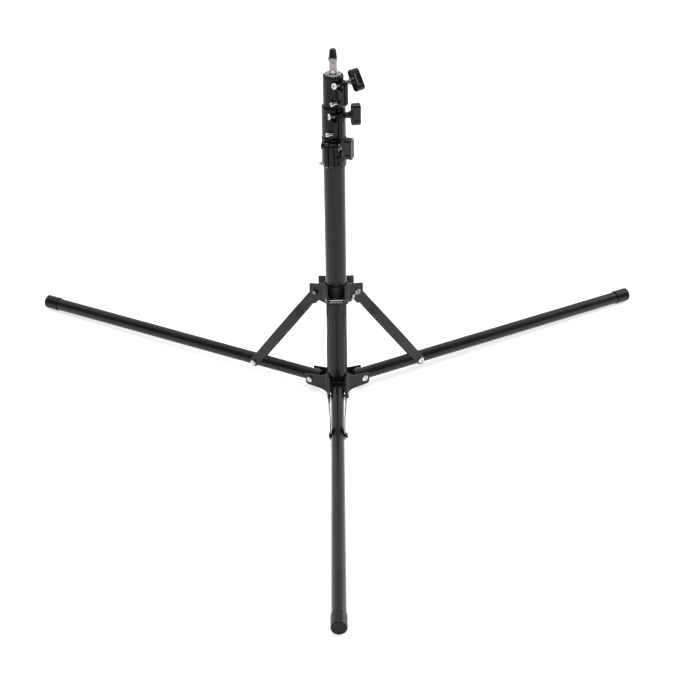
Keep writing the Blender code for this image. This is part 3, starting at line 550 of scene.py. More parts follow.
class Board:
    """The node board of one material, with short ways to add nodes."""

    def __init__(self, name: str, turn: float = 0.0) -> None:
        """Starts a material whose patterns lie on Object coordinates.

        Args:
            name: Name of the material.
            turn: Angle about Z by which the patterns are turned.
        """
        self.material = bpy.data.materials.new(name)
        self.material.use_nodes = True
        self.nodes = self.material.node_tree.nodes
        self.links = self.material.node_tree.links
        self.shader = self.nodes["Principled BSDF"]
        place = self.nodes.new("ShaderNodeTexCoord").outputs["Object"]
        mapping = self.nodes.new("ShaderNodeMapping")
        mapping.inputs["Rotation"].default_value = (0, 0, -turn)
        self.links.new(place, mapping.inputs["Vector"])
        self.place = mapping.outputs["Vector"]

    def put(self, socket: Socket, value: Value) -> None:
        """Links a socket where the value is one, and else writes the value.

        Args:
            socket: The socket that is set.
            value: Another socket, or the value itself.
        """
        if isinstance(value, Socket):
            self.links.new(value, socket)
        else:
            socket.default_value = value

    def noise(self, scale: float, detail: float = 2.0,
              stretch: Sequence[float] = (1, 1, 1)) -> Socket:
        """Noise on the piece, about scale patches to a metre.

        Args:
            scale: Patches to a metre.
            detail: Octaves of finer noise.
            stretch: Factors on the three axes; a small one draws the pattern out.

        Returns:
            The noise's value, about 0.5 on average.
        """
        mapping = self.nodes.new("ShaderNodeMapping")
        self.put(mapping.inputs["Vector"], self.place)
        self.put(mapping.inputs["Scale"], tuple(stretch))
        node = self.nodes.new("ShaderNodeTexNoise")
        self.put(node.inputs["Vector"], mapping.outputs["Vector"])
        self.put(node.inputs["Scale"], scale)
        self.put(node.inputs["Detail"], detail)
        return node.outputs["Fac"]

    def cells(self, scale: float) -> Socket:
        """Distance to the nearest point of a cell pattern, in cells.

        Args:
            scale: Cells to a metre.

        Returns:
            The distance's socket.
        """
        node = self.nodes.new("ShaderNodeTexVoronoi")
        self.put(node.inputs["Vector"], self.place)
        self.put(node.inputs["Scale"], scale)
        return node.outputs["Distance"]

    def remap(self, value: Socket, low: float, high: float, start: float = 0.3,
              end: float = 0.7) -> Socket:
        """Carries a value from one range to another and holds it there.

        Args:
            value: The value's socket.
            low: Result at the start.
            high: Result at the end.
            start: Value that gives the low result.
            end: Value that gives the high result.

        Returns:
            The result's socket.
        """
        node = self.nodes.new("ShaderNodeMapRange")
        for name, entry in (("Value", value), ("From Min", start), ("From Max", end),
                            ("To Min", low), ("To Max", high)):
            self.put(node.inputs[name], entry)
        return node.outputs["Result"]

    def blend(self, share: Socket, first: Sequence[float], second: Sequence[float]) -> Socket:
        """Colour between two, by a share from 0 to 1.

        Args:
            share: Socket of the second colour's share.
            first: Colour at 0.
            second: Colour at 1.

        Returns:
            The colour's socket.
        """
        node = self.nodes.new("ShaderNodeMix")
        node.data_type = "RGBA"
        self.put(node.inputs["Factor"], share)
        self.put(node.inputs["A"], (*first, 1.0))
        self.put(node.inputs["B"], (*second, 1.0))
        return node.outputs["Result"]

    def bump(self, height: Socket, strength: float, distance: float,
             under: Socket | None = None) -> Socket:
        """Relief from a height pattern.

        Args:
            height: The pattern's socket.
            strength: Share of the relief that shows.
            distance: Height of the relief in metres.
            under: Normal of a coarser relief that this one lies on.

        Returns:
            The normal's socket.
        """
        node = self.nodes.new("ShaderNodeBump")
        self.put(node.inputs["Height"], height)
        self.put(node.inputs["Strength"], strength)
        self.put(node.inputs["Distance"], distance)
        if under is not None:
            self.put(node.inputs["Normal"], under)
        return node.outputs["Normal"]

    def finish(self, **values: Value) -> bpy.types.Material:
        """Writes the shader's sockets, given with _ for a space, and returns the material.

        Args:
            values: Sockets or values, by the names of the shader's sockets.

        Returns:
            The material.
        """
        for name, value in values.items():
            self.put(self.shader.inputs[name.replace("_", " ")], value)
        return self.material


def shaded(colour: Sequence[float], factor: float) -> tuple[float, ...]:
    """A colour made lighter or darker by a factor."""
    return tuple(min(1.0, channel * factor) for channel in colour)


@dataclass(frozen=True)
class GlossPaint:
    """Smooth black paint on drawn tube, with orange peel and fine lengthwise rub marks."""

    colour: tuple[float, float, float] = (0.014, 0.014, 0.015)
    roughness: float = 0.22
    peel: float = 900.0
    rubs: float = 160.0

    def material(self, name: str, turn: float = 0.0, upright: bool = True) -> bpy.types.Material:
        """Makes the paint.

        Args:
            name: Name of the material.
            turn: Azimuth of a lying tube.
            upright: Whether the tube stands, so that its rub marks run along Z.

        Returns:
            The material.
        """
        board = Board(name, turn)
        stretch = (14, 14, 0.25) if upright else (0.25, 14, 14)
        rub = board.noise(self.rubs, 3.0, stretch)
        patch = board.noise(26.0, 3.0)
        peel = board.bump(board.noise(self.peel, 1.0), 0.25, 0.00003)
        marked = board.bump(rub, 0.10, 0.00004, peel)
        return board.finish(
            Base_Color=board.blend(
                board.remap(patch, 0.0, 1.0), shaded(self.colour, 0.85), shaded(self.colour, 1.3)),
            Roughness=board.remap(rub, self.roughness - 0.03, self.roughness + 0.10, 0.35, 0.75),
            Normal=marked, Specular_IOR_Level=0.27)


@dataclass(frozen=True)
class PowderCoat:
    """Satin black powder coat on folded plate, and the rubbed paint on its edges."""

    colour: tuple[float, float, float] = (0.019, 0.019, 0.020)
    roughness: float = 0.36
    grain: float = 1500.0

    def material(self, name: str) -> bpy.types.Material:
        """Makes the coat of the flat faces.

        Args:
            name: Name of the material.

        Returns:
            The material.
        """
        board = Board(name)
        patch = board.noise(45.0, 4.0)
        grain = board.noise(self.grain, 2.0)
        return board.finish(
            Base_Color=board.blend(
                board.remap(patch, 0.0, 1.0), shaded(self.colour, 0.8), shaded(self.colour, 1.35)),
            Roughness=board.remap(patch, self.roughness - 0.05, self.roughness + 0.09),
            Normal=board.bump(grain, 0.35, 0.00006), Specular_IOR_Level=0.3)

    def edge(self, name: str) -> bpy.types.Material:
        """Makes the coat of the rounded edges, thinner, smoother and chipped here and there.

        Args:
            name: Name of the material.

        Returns:
            The material.
        """
        board = Board(name)
        chip = board.remap(board.noise(700.0, 3.0), 0.0, 1.0, 0.66, 0.72)
        return board.finish(
            Base_Color=board.blend(chip, shaded(self.colour, 2.4), (0.32, 0.32, 0.33)),
            Metallic=board.remap(chip, 0.0, 0.8, 0.0, 1.0),
            Roughness=board.remap(board.noise(300.0), 0.26, 0.40),
            Normal=board.bump(board.noise(self.grain), 0.2, 0.00004))


@dataclass(frozen=True)
class Moulded:
    """Moulded plastic or rubber: fine grain, and patches that handling has polished."""

    colour: tuple[float, float, float] = (0.007, 0.007, 0.0074)
    roughness: float = 0.24
    grain: float = 1700.0
    depth: float = 0.00007
    specular: float = 0.22

    def material(self, name: str) -> bpy.types.Material:
        """Makes the moulded finish.

        Args:
            name: Name of the material.

        Returns:
            The material.
        """
        board = Board(name)
        patch = board.noise(60.0, 4.0)
        cells = board.bump(board.cells(self.grain), 0.5, self.depth)
        flow = board.bump(board.noise(120.0, 2.0), 0.15, 0.00015, cells)
        return board.finish(
            Base_Color=board.blend(
                board.remap(patch, 0.0, 1.0), shaded(self.colour, 0.75), shaded(self.colour, 1.4)),
            Roughness=board.remap(patch, self.roughness + 0.08, self.roughness - 0.06),
            Normal=flow, Specular_IOR_Level=self.specular)


@dataclass(frozen=True)
class Plated:
    """Plated steel: turning marks or spangle under the plate, and fine scratches."""

    colour: tuple[float, float, float] = (0.31, 0.297, 0.28)
    roughness: float = 0.12
    marks: float = 2600.0
    scratches: float = 420.0

    def material(self, name: str) -> bpy.types.Material:
        """Makes the plating.

        Args:
            name: Name of the material.

        Returns:
            The material.
        """
        board = Board(name)
        patch = board.noise(140.0, 3.0)
        rings = board.bump(board.noise(self.marks, 1.0, (0.12, 0.12, 1)), 0.12, 0.00002)
        scratch = board.bump(board.noise(self.scratches, 5.0, (1, 0.3, 0.1)), 0.08, 0.00003, rings)
        return board.finish(
            Base_Color=board.blend(
                board.remap(patch, 0.0, 1.0), shaded(self.colour, 0.86), shaded(self.colour, 1.04)),
            Roughness=board.remap(patch, self.roughness - 0.03, self.roughness + 0.12),
            Metallic=1.0, Normal=scratch)


class PaintShop:
    """Makes each finish once and dresses the pieces with them."""

    def __init__(self, nodes: dict[str, Piece]) -> None:
        """Makes the finishes, and gives every CAD node the one of its material slot.

        Args:
            nodes: The CAD nodes by name.
        """
        gloss, coat = GlossPaint(), PowderCoat()
        self.finishes = {
            Coat.GLOSS_BLACK: gloss.material("paint_upright_tube"),
            Coat.SATIN_BLACK: coat.material("powder_coat"),
            Coat.BLACK_PLASTIC: Moulded().material("moulded_black"),
            Coat.BLACK_RUBBER: Moulded(
                colour=(0.009, 0.009, 0.0095), roughness=0.30, grain=1100.0, depth=0.00004,
                specular=0.22).material("moulded_rubber"),
            Coat.GREY_NYLON: Moulded(
                colour=(0.12, 0.12, 0.125), roughness=0.5, grain=2400.0,
                depth=0.00003).material("moulded_nylon"),
            Coat.CHROME: Plated().material("chrome_plate"),
            Coat.ZINC: Plated(
                colour=(0.68, 0.675, 0.66), roughness=0.24, marks=900.0,
                scratches=260.0).material("zinc_plate"),
        }
        self.legs = [
            gloss.material(f"paint_leg_tube_{number}", azimuth, upright=False)
            for number, azimuth in enumerate(LEG_AZIMUTHS, 1)]
        self.edge = coat.edge("powder_coat_edge")
        # Painted light: the knobs are the collars' moulded plastic, made lighter in colour and
        # glossier to stand in for the extra light that falls on them.
        self.knob_painted_light = Moulded(
            colour=(0.012, 0.012, 0.0125), roughness=0.28, specular=0.34).material("moulded_knob")
        # Painted shade: a dark copy of the plating, only for the front leg's hub and strut bolts
        # and nuts, standing in for the shade and dark reflections on them; legs 2 and 3 take zinc.
        self.shade_painted_plate = Plated(colour=(0.03, 0.03, 0.031), roughness=0.3).material("plate_with_painted_shade")
        self.count = 0
        for node in nodes.values():
            slot = node.material_slots[0]
            slot.material = self.finishes[Coat(slot.material.name.split(".")[0])]

    def dress(self, piece: Piece, coat: Coat, body: str, *nodes: str,
              special: bpy.types.Material | None = None) -> Piece:
        """Gives a finished piece its material, its body and the nodes that it stands for.

        Args:
            piece: The piece, in its place.
            coat: Its finish.
            body: Name of the body that it rides on.
            nodes: CAD nodes that it replaces.
            special: A variant of the finish that it takes instead.

        Returns:
            The piece.
        """
        material = special or self.finishes[coat]
        if len(piece.data.materials) == 2:
            piece.data.materials[0] = material
            piece.data.materials[1] = self.edge
        else:
            piece.data.materials.clear()
            piece.data.materials.append(material)
        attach(piece, body)
        if nodes:
            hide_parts(*nodes)
        self.count += 1
        log.info("%s: %s on %s, %d faces", piece.name, coat.value, body, len(piece.data.polygons))
        return piece


# Fasteners


@dataclass
class Fasteners:
    """Screws, nuts and washers along Z, modelled once and copied."""

    bolt_radius: float = 0.003
    head_radius: float = 0.0055
    head_height: float = 0.0021
    rim_height: float = 0.0007
    nut_radius: float = 0.0054
    nut_height: float = 0.0032
    tip: float = 0.0004

    def head_profile(self, radius: float, height: float, rim: float) -> list[Point]:
        """Profile of a domed head above Z = 0, from the axis to its underside.

        Args:
            radius: Radius of the head.
            height: Height of the dome's top.
            rim: Height of the head's upright rim.

        Returns:
            Points of (radius, height).
        """
        dome = [(radius * sin(turn), rim + (height - rim) * cos(turn))
                for turn in (pi / 2 * step / 8 for step in range(9))]
        return [*dome, (radius, 0.0002), (radius - 0.0002, 0)]

    def cross(self, name: str, top: float, reach: float, depth: float) -> Piece:
        """Cutter of a cross recess that narrows towards its floor.

        Args:
            name: Name of the cutter.
            top: Height that it reaches up to.
            reach: Half length of the cross.
            depth: Depth of the recess.

        Returns:
            The cutter.
        """
        half = reach * 0.27
        outline = [(half, half), (half, reach), (-half, reach), (-half, half), (-reach, half),
                   (-reach, -half), (-half, -half), (-half, -reach), (half, -reach),
                   (half, -half), (reach, -half), (reach, half)]
        cutter = Bench.slab(name, outline, top - depth, top + 0.001)
        Bench.take(cutter)
        Bench.mode("EDIT")
        bpy.ops.mesh.select_all(action="DESELECT")
        shape = bmesh.from_edit_mesh(cutter.data)
        for corner in shape.verts:
            corner.select = corner.co.z < top
        shape.select_flush(True)
        bmesh.update_edit_mesh(cutter.data)
        bpy.ops.transform.resize(value=(0.62, 0.62, 1), center_override=(0, 0, top - depth))
        Bench.mode("OBJECT")
        return cutter

    def bolt(self, name: str, seat: float, end: float) -> Piece:
        """Bolt with a cross recess in its head above a seat, and a threaded lower end.

        Args:
            name: Name of the piece.
            seat: Height of the head's underside.
            end: Height of the bolt's lower end.

        Returns:
            The bolt.
        """
        radius = self.bolt_radius
        head = [(across, seat + up) for across, up in self.head_profile(
            self.head_radius, self.head_height, self.rim_height)]
        profile = [
            *head, (radius, seat), (radius, end + 0.009),
            *thread(radius, end + 0.0085, end + 0.0005), (radius - 0.0006, end), (0, end)]
        piece = Bench.turn(name, profile, 40)
        top = seat + self.head_height
        Bench.cut(piece, self.cross("cross", top, self.head_radius * 0.62, 0.0013))
        return Bench.polish(piece)

    def nut(self, name: str, low: float, high: float, radius: float, bore: float) -> Piece:
        """Hexagonal nut with chamfered corners and a countersunk bore.

        Args:
            name: Name of the piece.
            low: Height of one face.
            high: Height of the other.
            radius: Distance of its corners from the axis.
            bore: Radius of its bore.

        Returns:
            The nut.
        """
        inner = radius * 0.88
        piece = Bench.rod(name, radius, low, high, 6)
        Bench.common(piece, Bench.turn("chamfer", [
            (0, high), (inner, high), (radius * 1.02, high - 0.0009),
            (radius * 1.02, low + 0.0009), (inner, low), (0, low)], 48))
        sink = 0.0005
        Bench.cut(piece, Bench.turn("bore", [
            (0, high + sink), (bore + 2 * sink, high + sink), (bore, high - sink),
            (bore, low + sink), (bore + 2 * sink, low - sink), (0, low - sink)], 32))
        return Bench.polish(piece, 30)

    def washer(self, name: str, low: float, high: float, radius: float) -> Piece:
        """Flat washer between two heights, its outer edges rounded."""
        bore = self.bolt_radius + GAP
        return Bench.polish(Bench.turn(name, eased(
            [(radius, high), (radius, low), (bore, low), (bore, high)], 0.0003, closed=True), 48))


# Column


@dataclass
class Column:
    """The four nested tubes and the plug in the column's foot."""

    radius: float = COLUMN_RADIUS
    wall: float = 0.001
    step: float = TUBE_STEP
    bottoms: tuple[float, ...] = (0.009, 0.029, 0.033, 0.037)
    tops: tuple[float, ...] = (0.456, 0.5075, 0.559, 0.585)
    nodes: tuple[str, ...] = ("outer_tube", "tube_2", "tube_3", "tube_4")
    bodies: tuple[str, ...] = ("column", "tube_2", "tube_3", "tube_4")
    plug_height: float = 0.025
    plug_flange: float = 0.0087
    plug_wall: float = 0.003

    def tube(self, stage: int) -> Piece:
        """Drawn tube of one stage, with rolled ends.

        Args:
            stage: Number of the stage, 0 for the outer tube.

        Returns:
            The tube.
        """
        radius = self.radius - stage * self.step
        low, high = self.bottoms[stage], self.tops[stage]
        bore = radius - self.wall
        profile = eased(
            [(radius, high), (radius, low), (bore, low), (bore, high)], 0.0004, closed=True)
        return Bench.polish(Bench.turn(f"column_pipe_{stage + 1}", profile, 96))

    def plug(self) -> Piece:
        """Moulded plug with a ribbed flange and a hollow underside rim.

        Returns:
            The plug.
        """
        fit = self.radius - self.wall - GAP
        bore = fit - self.plug_wall
        outer, high = self.radius, self.plug_flange
        profile = [
            (0, self.plug_wall), *eased([
                (bore, self.plug_wall), (bore, self.plug_height), (fit, self.plug_height),
                (fit, high), (outer, high), (outer, 0.0062), (outer - 0.0005, 0.0058),
                (outer - 0.0005, 0.0050), (outer, 0.0046), (outer, 0.002), (outer - 0.002, 0),
                (outer - 0.007, 0), (outer - 0.0078, 0.0008), (0.004, 0.0008)], 0.0006),
            (0, 0.0008)]
        return Bench.polish(Bench.turn("foot_plug", profile, 96))

    def build(self, shop: PaintShop) -> None:
        """Builds and dresses the tubes and the plug.

        Args:
            shop: Where the pieces get their finish.
        """
        for stage, (node, body) in enumerate(zip(self.nodes, self.bodies)):
            shop.dress(self.tube(stage), Coat.GLOSS_BLACK, body, node)
        shop.dress(self.plug(), Coat.BLACK_PLASTIC, "column", "column_foot_plug")


# Clamp collars


@dataclass
class ClampCollar:
    """One clamp collar with its bush, screws, nut and T-knob.

    It is modelled with its lug along +X, its clamp bolt along +Y and its underside at Z = 0.
    """

    name: str
    body: str
    stage: int
    wall: float
    bolt_out: float
    bolt_up: float
    screw_out: float
    boss_low: float
    boss_high: float
    nut_seat: float
    recessed: bool
    shoulder: float
    stem: float
    bare_shoulder: bool
    angle: float
    knob_tilt: float
    lowest: float = 0.431
    spacing: float = 0.0515
    height: float = 0.051
    edge: float = 0.001
    lug_reach: float = 0.0295
    lug_half: float = 0.007
    slit: float = 0.002
    bolt_radius: float = 0.0025
    boss_radius: float = 0.0063
    knob_low: float = 0.0245
    knob_length: float = 0.036
    knob_width: float = 0.015
    knob_thickness: float = 0.0136
    screw_up: float = 0.010

    @property
    def bore(self) -> float:
        """Radius of the bore, round the collar's own tube."""
        return COLUMN_RADIUS - self.stage * TUBE_STEP + GAP

    @property
    def bottom(self) -> float:
        """Height of the collar's underside."""
        return self.lowest + self.stage * self.spacing

    @property
    def place(self) -> Matrix:
        """Place of the collar's own frame."""
        turn = Matrix.Rotation(self.angle - radians(90), 4, "Z")
        return Matrix.Translation((0, 0, self.bottom)) @ turn

    def on_lug(self, piece: Piece, out: float, up: float) -> Piece:
        """Lays a shape along Z along the clamp bolt instead, at a place on the lug."""
        turn = Matrix.Rotation(radians(-90), 4, "X")
        return Bench.place(piece, Matrix.Translation((out, 0, up)) @ turn)

    def lug(self) -> Piece:
        """Upright lug with chamfered corners and a thick rim round its outline.

        Returns:
            The lug.
        """
        foot, top, reach = 0.001, self.height - 0.006, self.lug_reach
        outline = eased([
            (0, foot), (reach - 0.008, foot), (reach, foot + 0.008), (reach, top - 0.003),
            (reach - 0.003, top), (0, top)], 0.0012, closed=True)
        lug = Bench.slab("lug", outline, -self.lug_half, self.lug_half)
        return Bench.place(lug, ACROSS)

    def pad(self) -> Piece:
        """Raised panel on the lower collar's knob side, which carries two pockets.

        Returns:
            The panel.
        """
        outer = self.bore + self.wall
        return Bench.slab("pad", [
            (0.010, 0.006), (outer + 0.0003, 0.006), (outer + 0.0003, 0.0083),
            (outer - 0.0003, 0.0092), (0.0124, 0.0172), (0.0112, 0.0177), (0.004, 0.0177)],
            0.0042, 0.0363)

    def pockets(self) -> list[Piece]:
        """Cutters of the two pockets in the lower collar's pad.

        Returns:
            The cutters.
        """
        way = Vector((-0.0082, 0.0091, 0)).normalized()
        out = Vector((way.y, -way.x, 0))
        start = Vector((0.0202, 0.0085, 0))
        turned = Matrix(((out.x, way.x, 0), (out.y, way.y, 0), (0, 0, 1))).to_4x4()
        place = Matrix.Translation(start) @ turned @ Matrix.Rotation(radians(90), 4, "Y")
        cutters = []
        for outline in (
                [(-0.0185, 0.0016), (-0.0325, 0.0022), (-0.0335, 0.0092), (-0.0215, 0.0104)],
                [(-0.0070, 0.0030), (-0.0155, 0.0024), (-0.0160, 0.0062), (-0.0085, 0.0072)]):
            cutters.append(Bench.place(
                Bench.slab("pocket", eased(outline, 0.0008, closed=True), -0.0026, 0.004), place))
        return cutters

    def bulge(self) -> Piece:
        """Rounded boss on the lower collar's knob side, behind the pad.

        Returns:
            The boss.
        """
        dome = Bench.turn("bulge", [
            (0, 0.0022), (0.0022, 0.0019), (0.0040, 0.0011), (0.0052, -0.0006), (0.0052, -0.004),
            (0, -0.004)], 32)
        stretch = Matrix.Diagonal((1.25, 1, 1, 1))
        place = (Matrix.Rotation(radians(69), 4, "Z")
                 @ Matrix.Translation((self.bore + self.wall - 0.0006, 0, 0.0145)) @ ALONG)
        return Bench.place(dome, place @ stretch)

    def shell(self) -> Piece:
        """The moulded collar.

        Returns:
            The collar's shell.
        """
        outer, high = self.bore + self.wall, self.height
        ring = Bench.turn("ring", eased([
            (outer - 0.0004, high), (outer, high - 0.0024), (outer, 0.0032),
            (outer - 0.0004, 0.0024), (outer - 0.0004, 0), (self.bore - 0.001, 0),
            (self.bore - 0.001, high)],
            self.edge, closed=True), 96)
        boss = self.on_lug(Bench.turn("boss", [
            (0, self.boss_high), *eased([
                (self.boss_radius - 0.0002, self.boss_high), (self.boss_radius, 0.007),
                (self.boss_radius, self.boss_low)], 0.0008),
            (0, self.boss_low)], 48), self.bolt_out, self.bolt_up)
        cutters = [
            Bench.rod("bore", self.bore, -WIDE, WIDE, 96),
            Bench.block("slit", (0, -self.slit / 2, -WIDE), (WIDE, self.slit / 2, WIDE)),
            self.on_lug(Bench.rod("bolt", self.bolt_radius + GAP, -WIDE, WIDE, 32),
                        self.bolt_out, self.bolt_up),
            self.on_lug(Bench.rod("seat", 0.0055, -WIDE, -self.nut_seat, 48),
                        self.bolt_out, self.bolt_up),
            self.on_lug(Bench.rod("screw", 0.0027, -WIDE, self.lug_half - 0.002, 32),
                        self.screw_out, self.screw_up)]
        if self.recessed:
            low = self.bolt_out - self.bolt_radius - GAP
            cutters.append(Bench.round_edges(Bench.block(
                "recess", (low, -WIDE, self.bolt_up - 0.0065),
                (WIDE, -0.0025, self.bolt_up + 0.0065)), 0.0012))
            cutters.append(Bench.round_edges(Bench.block(
                "hollow", (self.bolt_out - 0.001, -WIDE, self.screw_up + 0.0065),
                (self.lug_reach - 0.0035, -0.0052, self.bolt_up - 0.0092)), 0.0012))
        else:
            cutters.append(Bench.round_edges(Bench.block(
                "hollow", (self.bolt_out + 0.001, -WIDE, self.screw_up + 0.007),
                (self.lug_reach - 0.003, -0.0056, self.bolt_up - 0.0100)), 0.0012))
            cutters += self.pockets()
        added = [] if self.recessed else [self.pad(), self.bulge()]
        shell = Bench.unite(ring, *added, Bench.round_edges(self.lug(), 0.0007), boss)
        return Bench.polish(Bench.cut(shell, *cutters))

    def bush(self) -> Piece:
        """Split bush with a raised lip round the tube that slides in it.

        Returns:
            The bush.
        """
        outer = self.bore - GAP
        inner = outer - TUBE_STEP + GAP
        low, high = 0.0253, self.height
        ring = Bench.turn("bush", eased(
            [(outer, high), (outer, low), (inner, low), (inner, high)], 0.0004, closed=True), 96)
        slit = Bench.block("slit", (0, -self.slit / 2, 0), (WIDE, self.slit / 2, WIDE))
        return Bench.polish(Bench.cut(ring, slit))

    def fixing_screw(self, fasteners: Fasteners) -> Piece:
        """Screw near the foot of the lug, its head standing off on the nut side.

        Args:
            fasteners: The maker of the screws and nuts.

        Returns:
            The screw.
        """
        head_low = self.lug_half + 0.0065
        end = -head_low - self.lug_half + 0.002 + GAP
        screw = Bench.turn("fixing_screw", [
            *fasteners.head_profile(0.0035, 0.0045, 0.0033), (0.0024, 0), (0.0024, -0.0006),
            *thread(0.0024, -0.0010, end, 0.0009), (0, end)], 40)
        Bench.cut(screw, fasteners.cross("cross", 0.0045, 0.0022, 0.0012))
        flip = Matrix.Translation((0, 0, -head_low)) @ Matrix.Rotation(pi, 4, "X")
        return self.on_lug(Bench.polish(Bench.place(screw, flip)), self.screw_out, self.screw_up)

    def knob(self, neck_foot: float) -> Piece:
        """T-bar with sunk panels in its sides and end, on a flared neck.

        Args:
            neck_foot: Height of the neck's lower end.

        Returns:
            The knob.
        """
        low, high = self.knob_low, self.knob_low + self.knob_thickness
        face = rounded_rectangle(self.knob_width, self.knob_length, 0.006)
        bar = Bench.slab("bar", face, low, high)
        Bench.sink(bar, Vector((1, 0, 0)), 0.0024, 0.0013, 0.0002)
        Bench.sink(bar, Vector((0, 0, 1)), 0.0026, 0.0011, 0.0003)
        Bench.round_edges(bar, 0.0008, 3, 50)
        neck = Bench.turn("neck", [
            (0, low + 0.003), *eased([
                (0.0070, low + 0.003), (0.0068, low - 0.0006), (0.0058, low - 0.0030),
                (0.0051, (low + neck_foot) / 2), (0.0048, neck_foot)], 0.0014),
            (0, neck_foot)], 48)
        bore = Bench.rod("bore", self.bolt_radius + GAP, 0, low + 0.0103, 32)
        return Bench.polish(Bench.cut(Bench.unite(bar, neck), bore))

    def clamp_bolt(self, low: float, high: float) -> Piece:
        """Clamp bolt: threaded end, polished shoulder, and a shaft inside the knob.

        Args:
            low: Height of the shoulder's lower end.
            high: Height of its upper end.

        Returns:
            The bolt.
        """
        radius, stem = self.bolt_radius, self.stem
        tip = -self.nut_seat - GAP - 0.0046
        return Bench.polish(Bench.turn("clamp_bolt", [
            (0, self.knob_low + 0.010), (radius, self.knob_low + 0.010), (radius, high),
            (stem - 0.0002, high), (stem, high - 0.0003), (stem, high - 0.0012),
            (stem - 0.0002, high - 0.0015), (stem - 0.0002, high - 0.0020), (stem, high - 0.0023),
            (stem, low + 0.0003), (stem - 0.0002, low), (radius, low), (radius, 0.001),
            *thread(radius, 0.0006, tip + 0.0005), (radius - 0.0006, tip), (0, tip)], 48))

    def build(self, shop: PaintShop, fasteners: Fasteners) -> None:
        """Builds and dresses the collar and all that it carries.

        Args:
            shop: Where the pieces get their finish.
            fasteners: The maker of its screws and nuts.
        """
        face = -self.nut_seat - GAP
        low = self.boss_high + GAP
        high = low + self.shoulder
        neck_foot = high + GAP if self.bare_shoulder else low
        place, knob_body = self.place, f"{self.name}_knob"
        axis = (place @ Matrix.Translation((self.bolt_out, 0, self.bolt_up))
                @ Matrix.Rotation(radians(-90), 4, "X"))
        turned = axis @ Matrix.Rotation(-self.knob_tilt, 4, "Z")
        nut = self.on_lug(
            fasteners.nut("nut", face - 0.004, face - 0.0012, 0.0053, self.bolt_radius),
            self.bolt_out, self.bolt_up)
        kinds = [
            ("clamp_shell", self.shell(), Coat.BLACK_PLASTIC, self.body, "collar", place),
            ("clamp_bush", self.bush(), Coat.GREY_NYLON, self.body, "collar_bush", place),
            ("clamp_screw", self.fixing_screw(fasteners), Coat.ZINC, self.body, "collar_screw",
             place),
            ("clamp_nut", nut, Coat.ZINC, self.body, "collar_nut", place),
            ("t_knob", self.knob(neck_foot), Coat.BLACK_PLASTIC, knob_body, "knob", turned),
            ("clamp_bolt", self.clamp_bolt(low, high), Coat.CHROME, knob_body, "knob_bolt", axis)]
        for part, source, coat, body, node, where in kinds:
            piece = Bench.twin(source, f"{self.name}_{part}", where)
            # Painted light: a knob takes the lighter copy of the moulded plastic.
            special = shop.knob_painted_light if node == "knob" else None
            shop.dress(piece, coat, body, f"{self.name}_{node}", special=special)
            Bench.drop(source)


# Stud


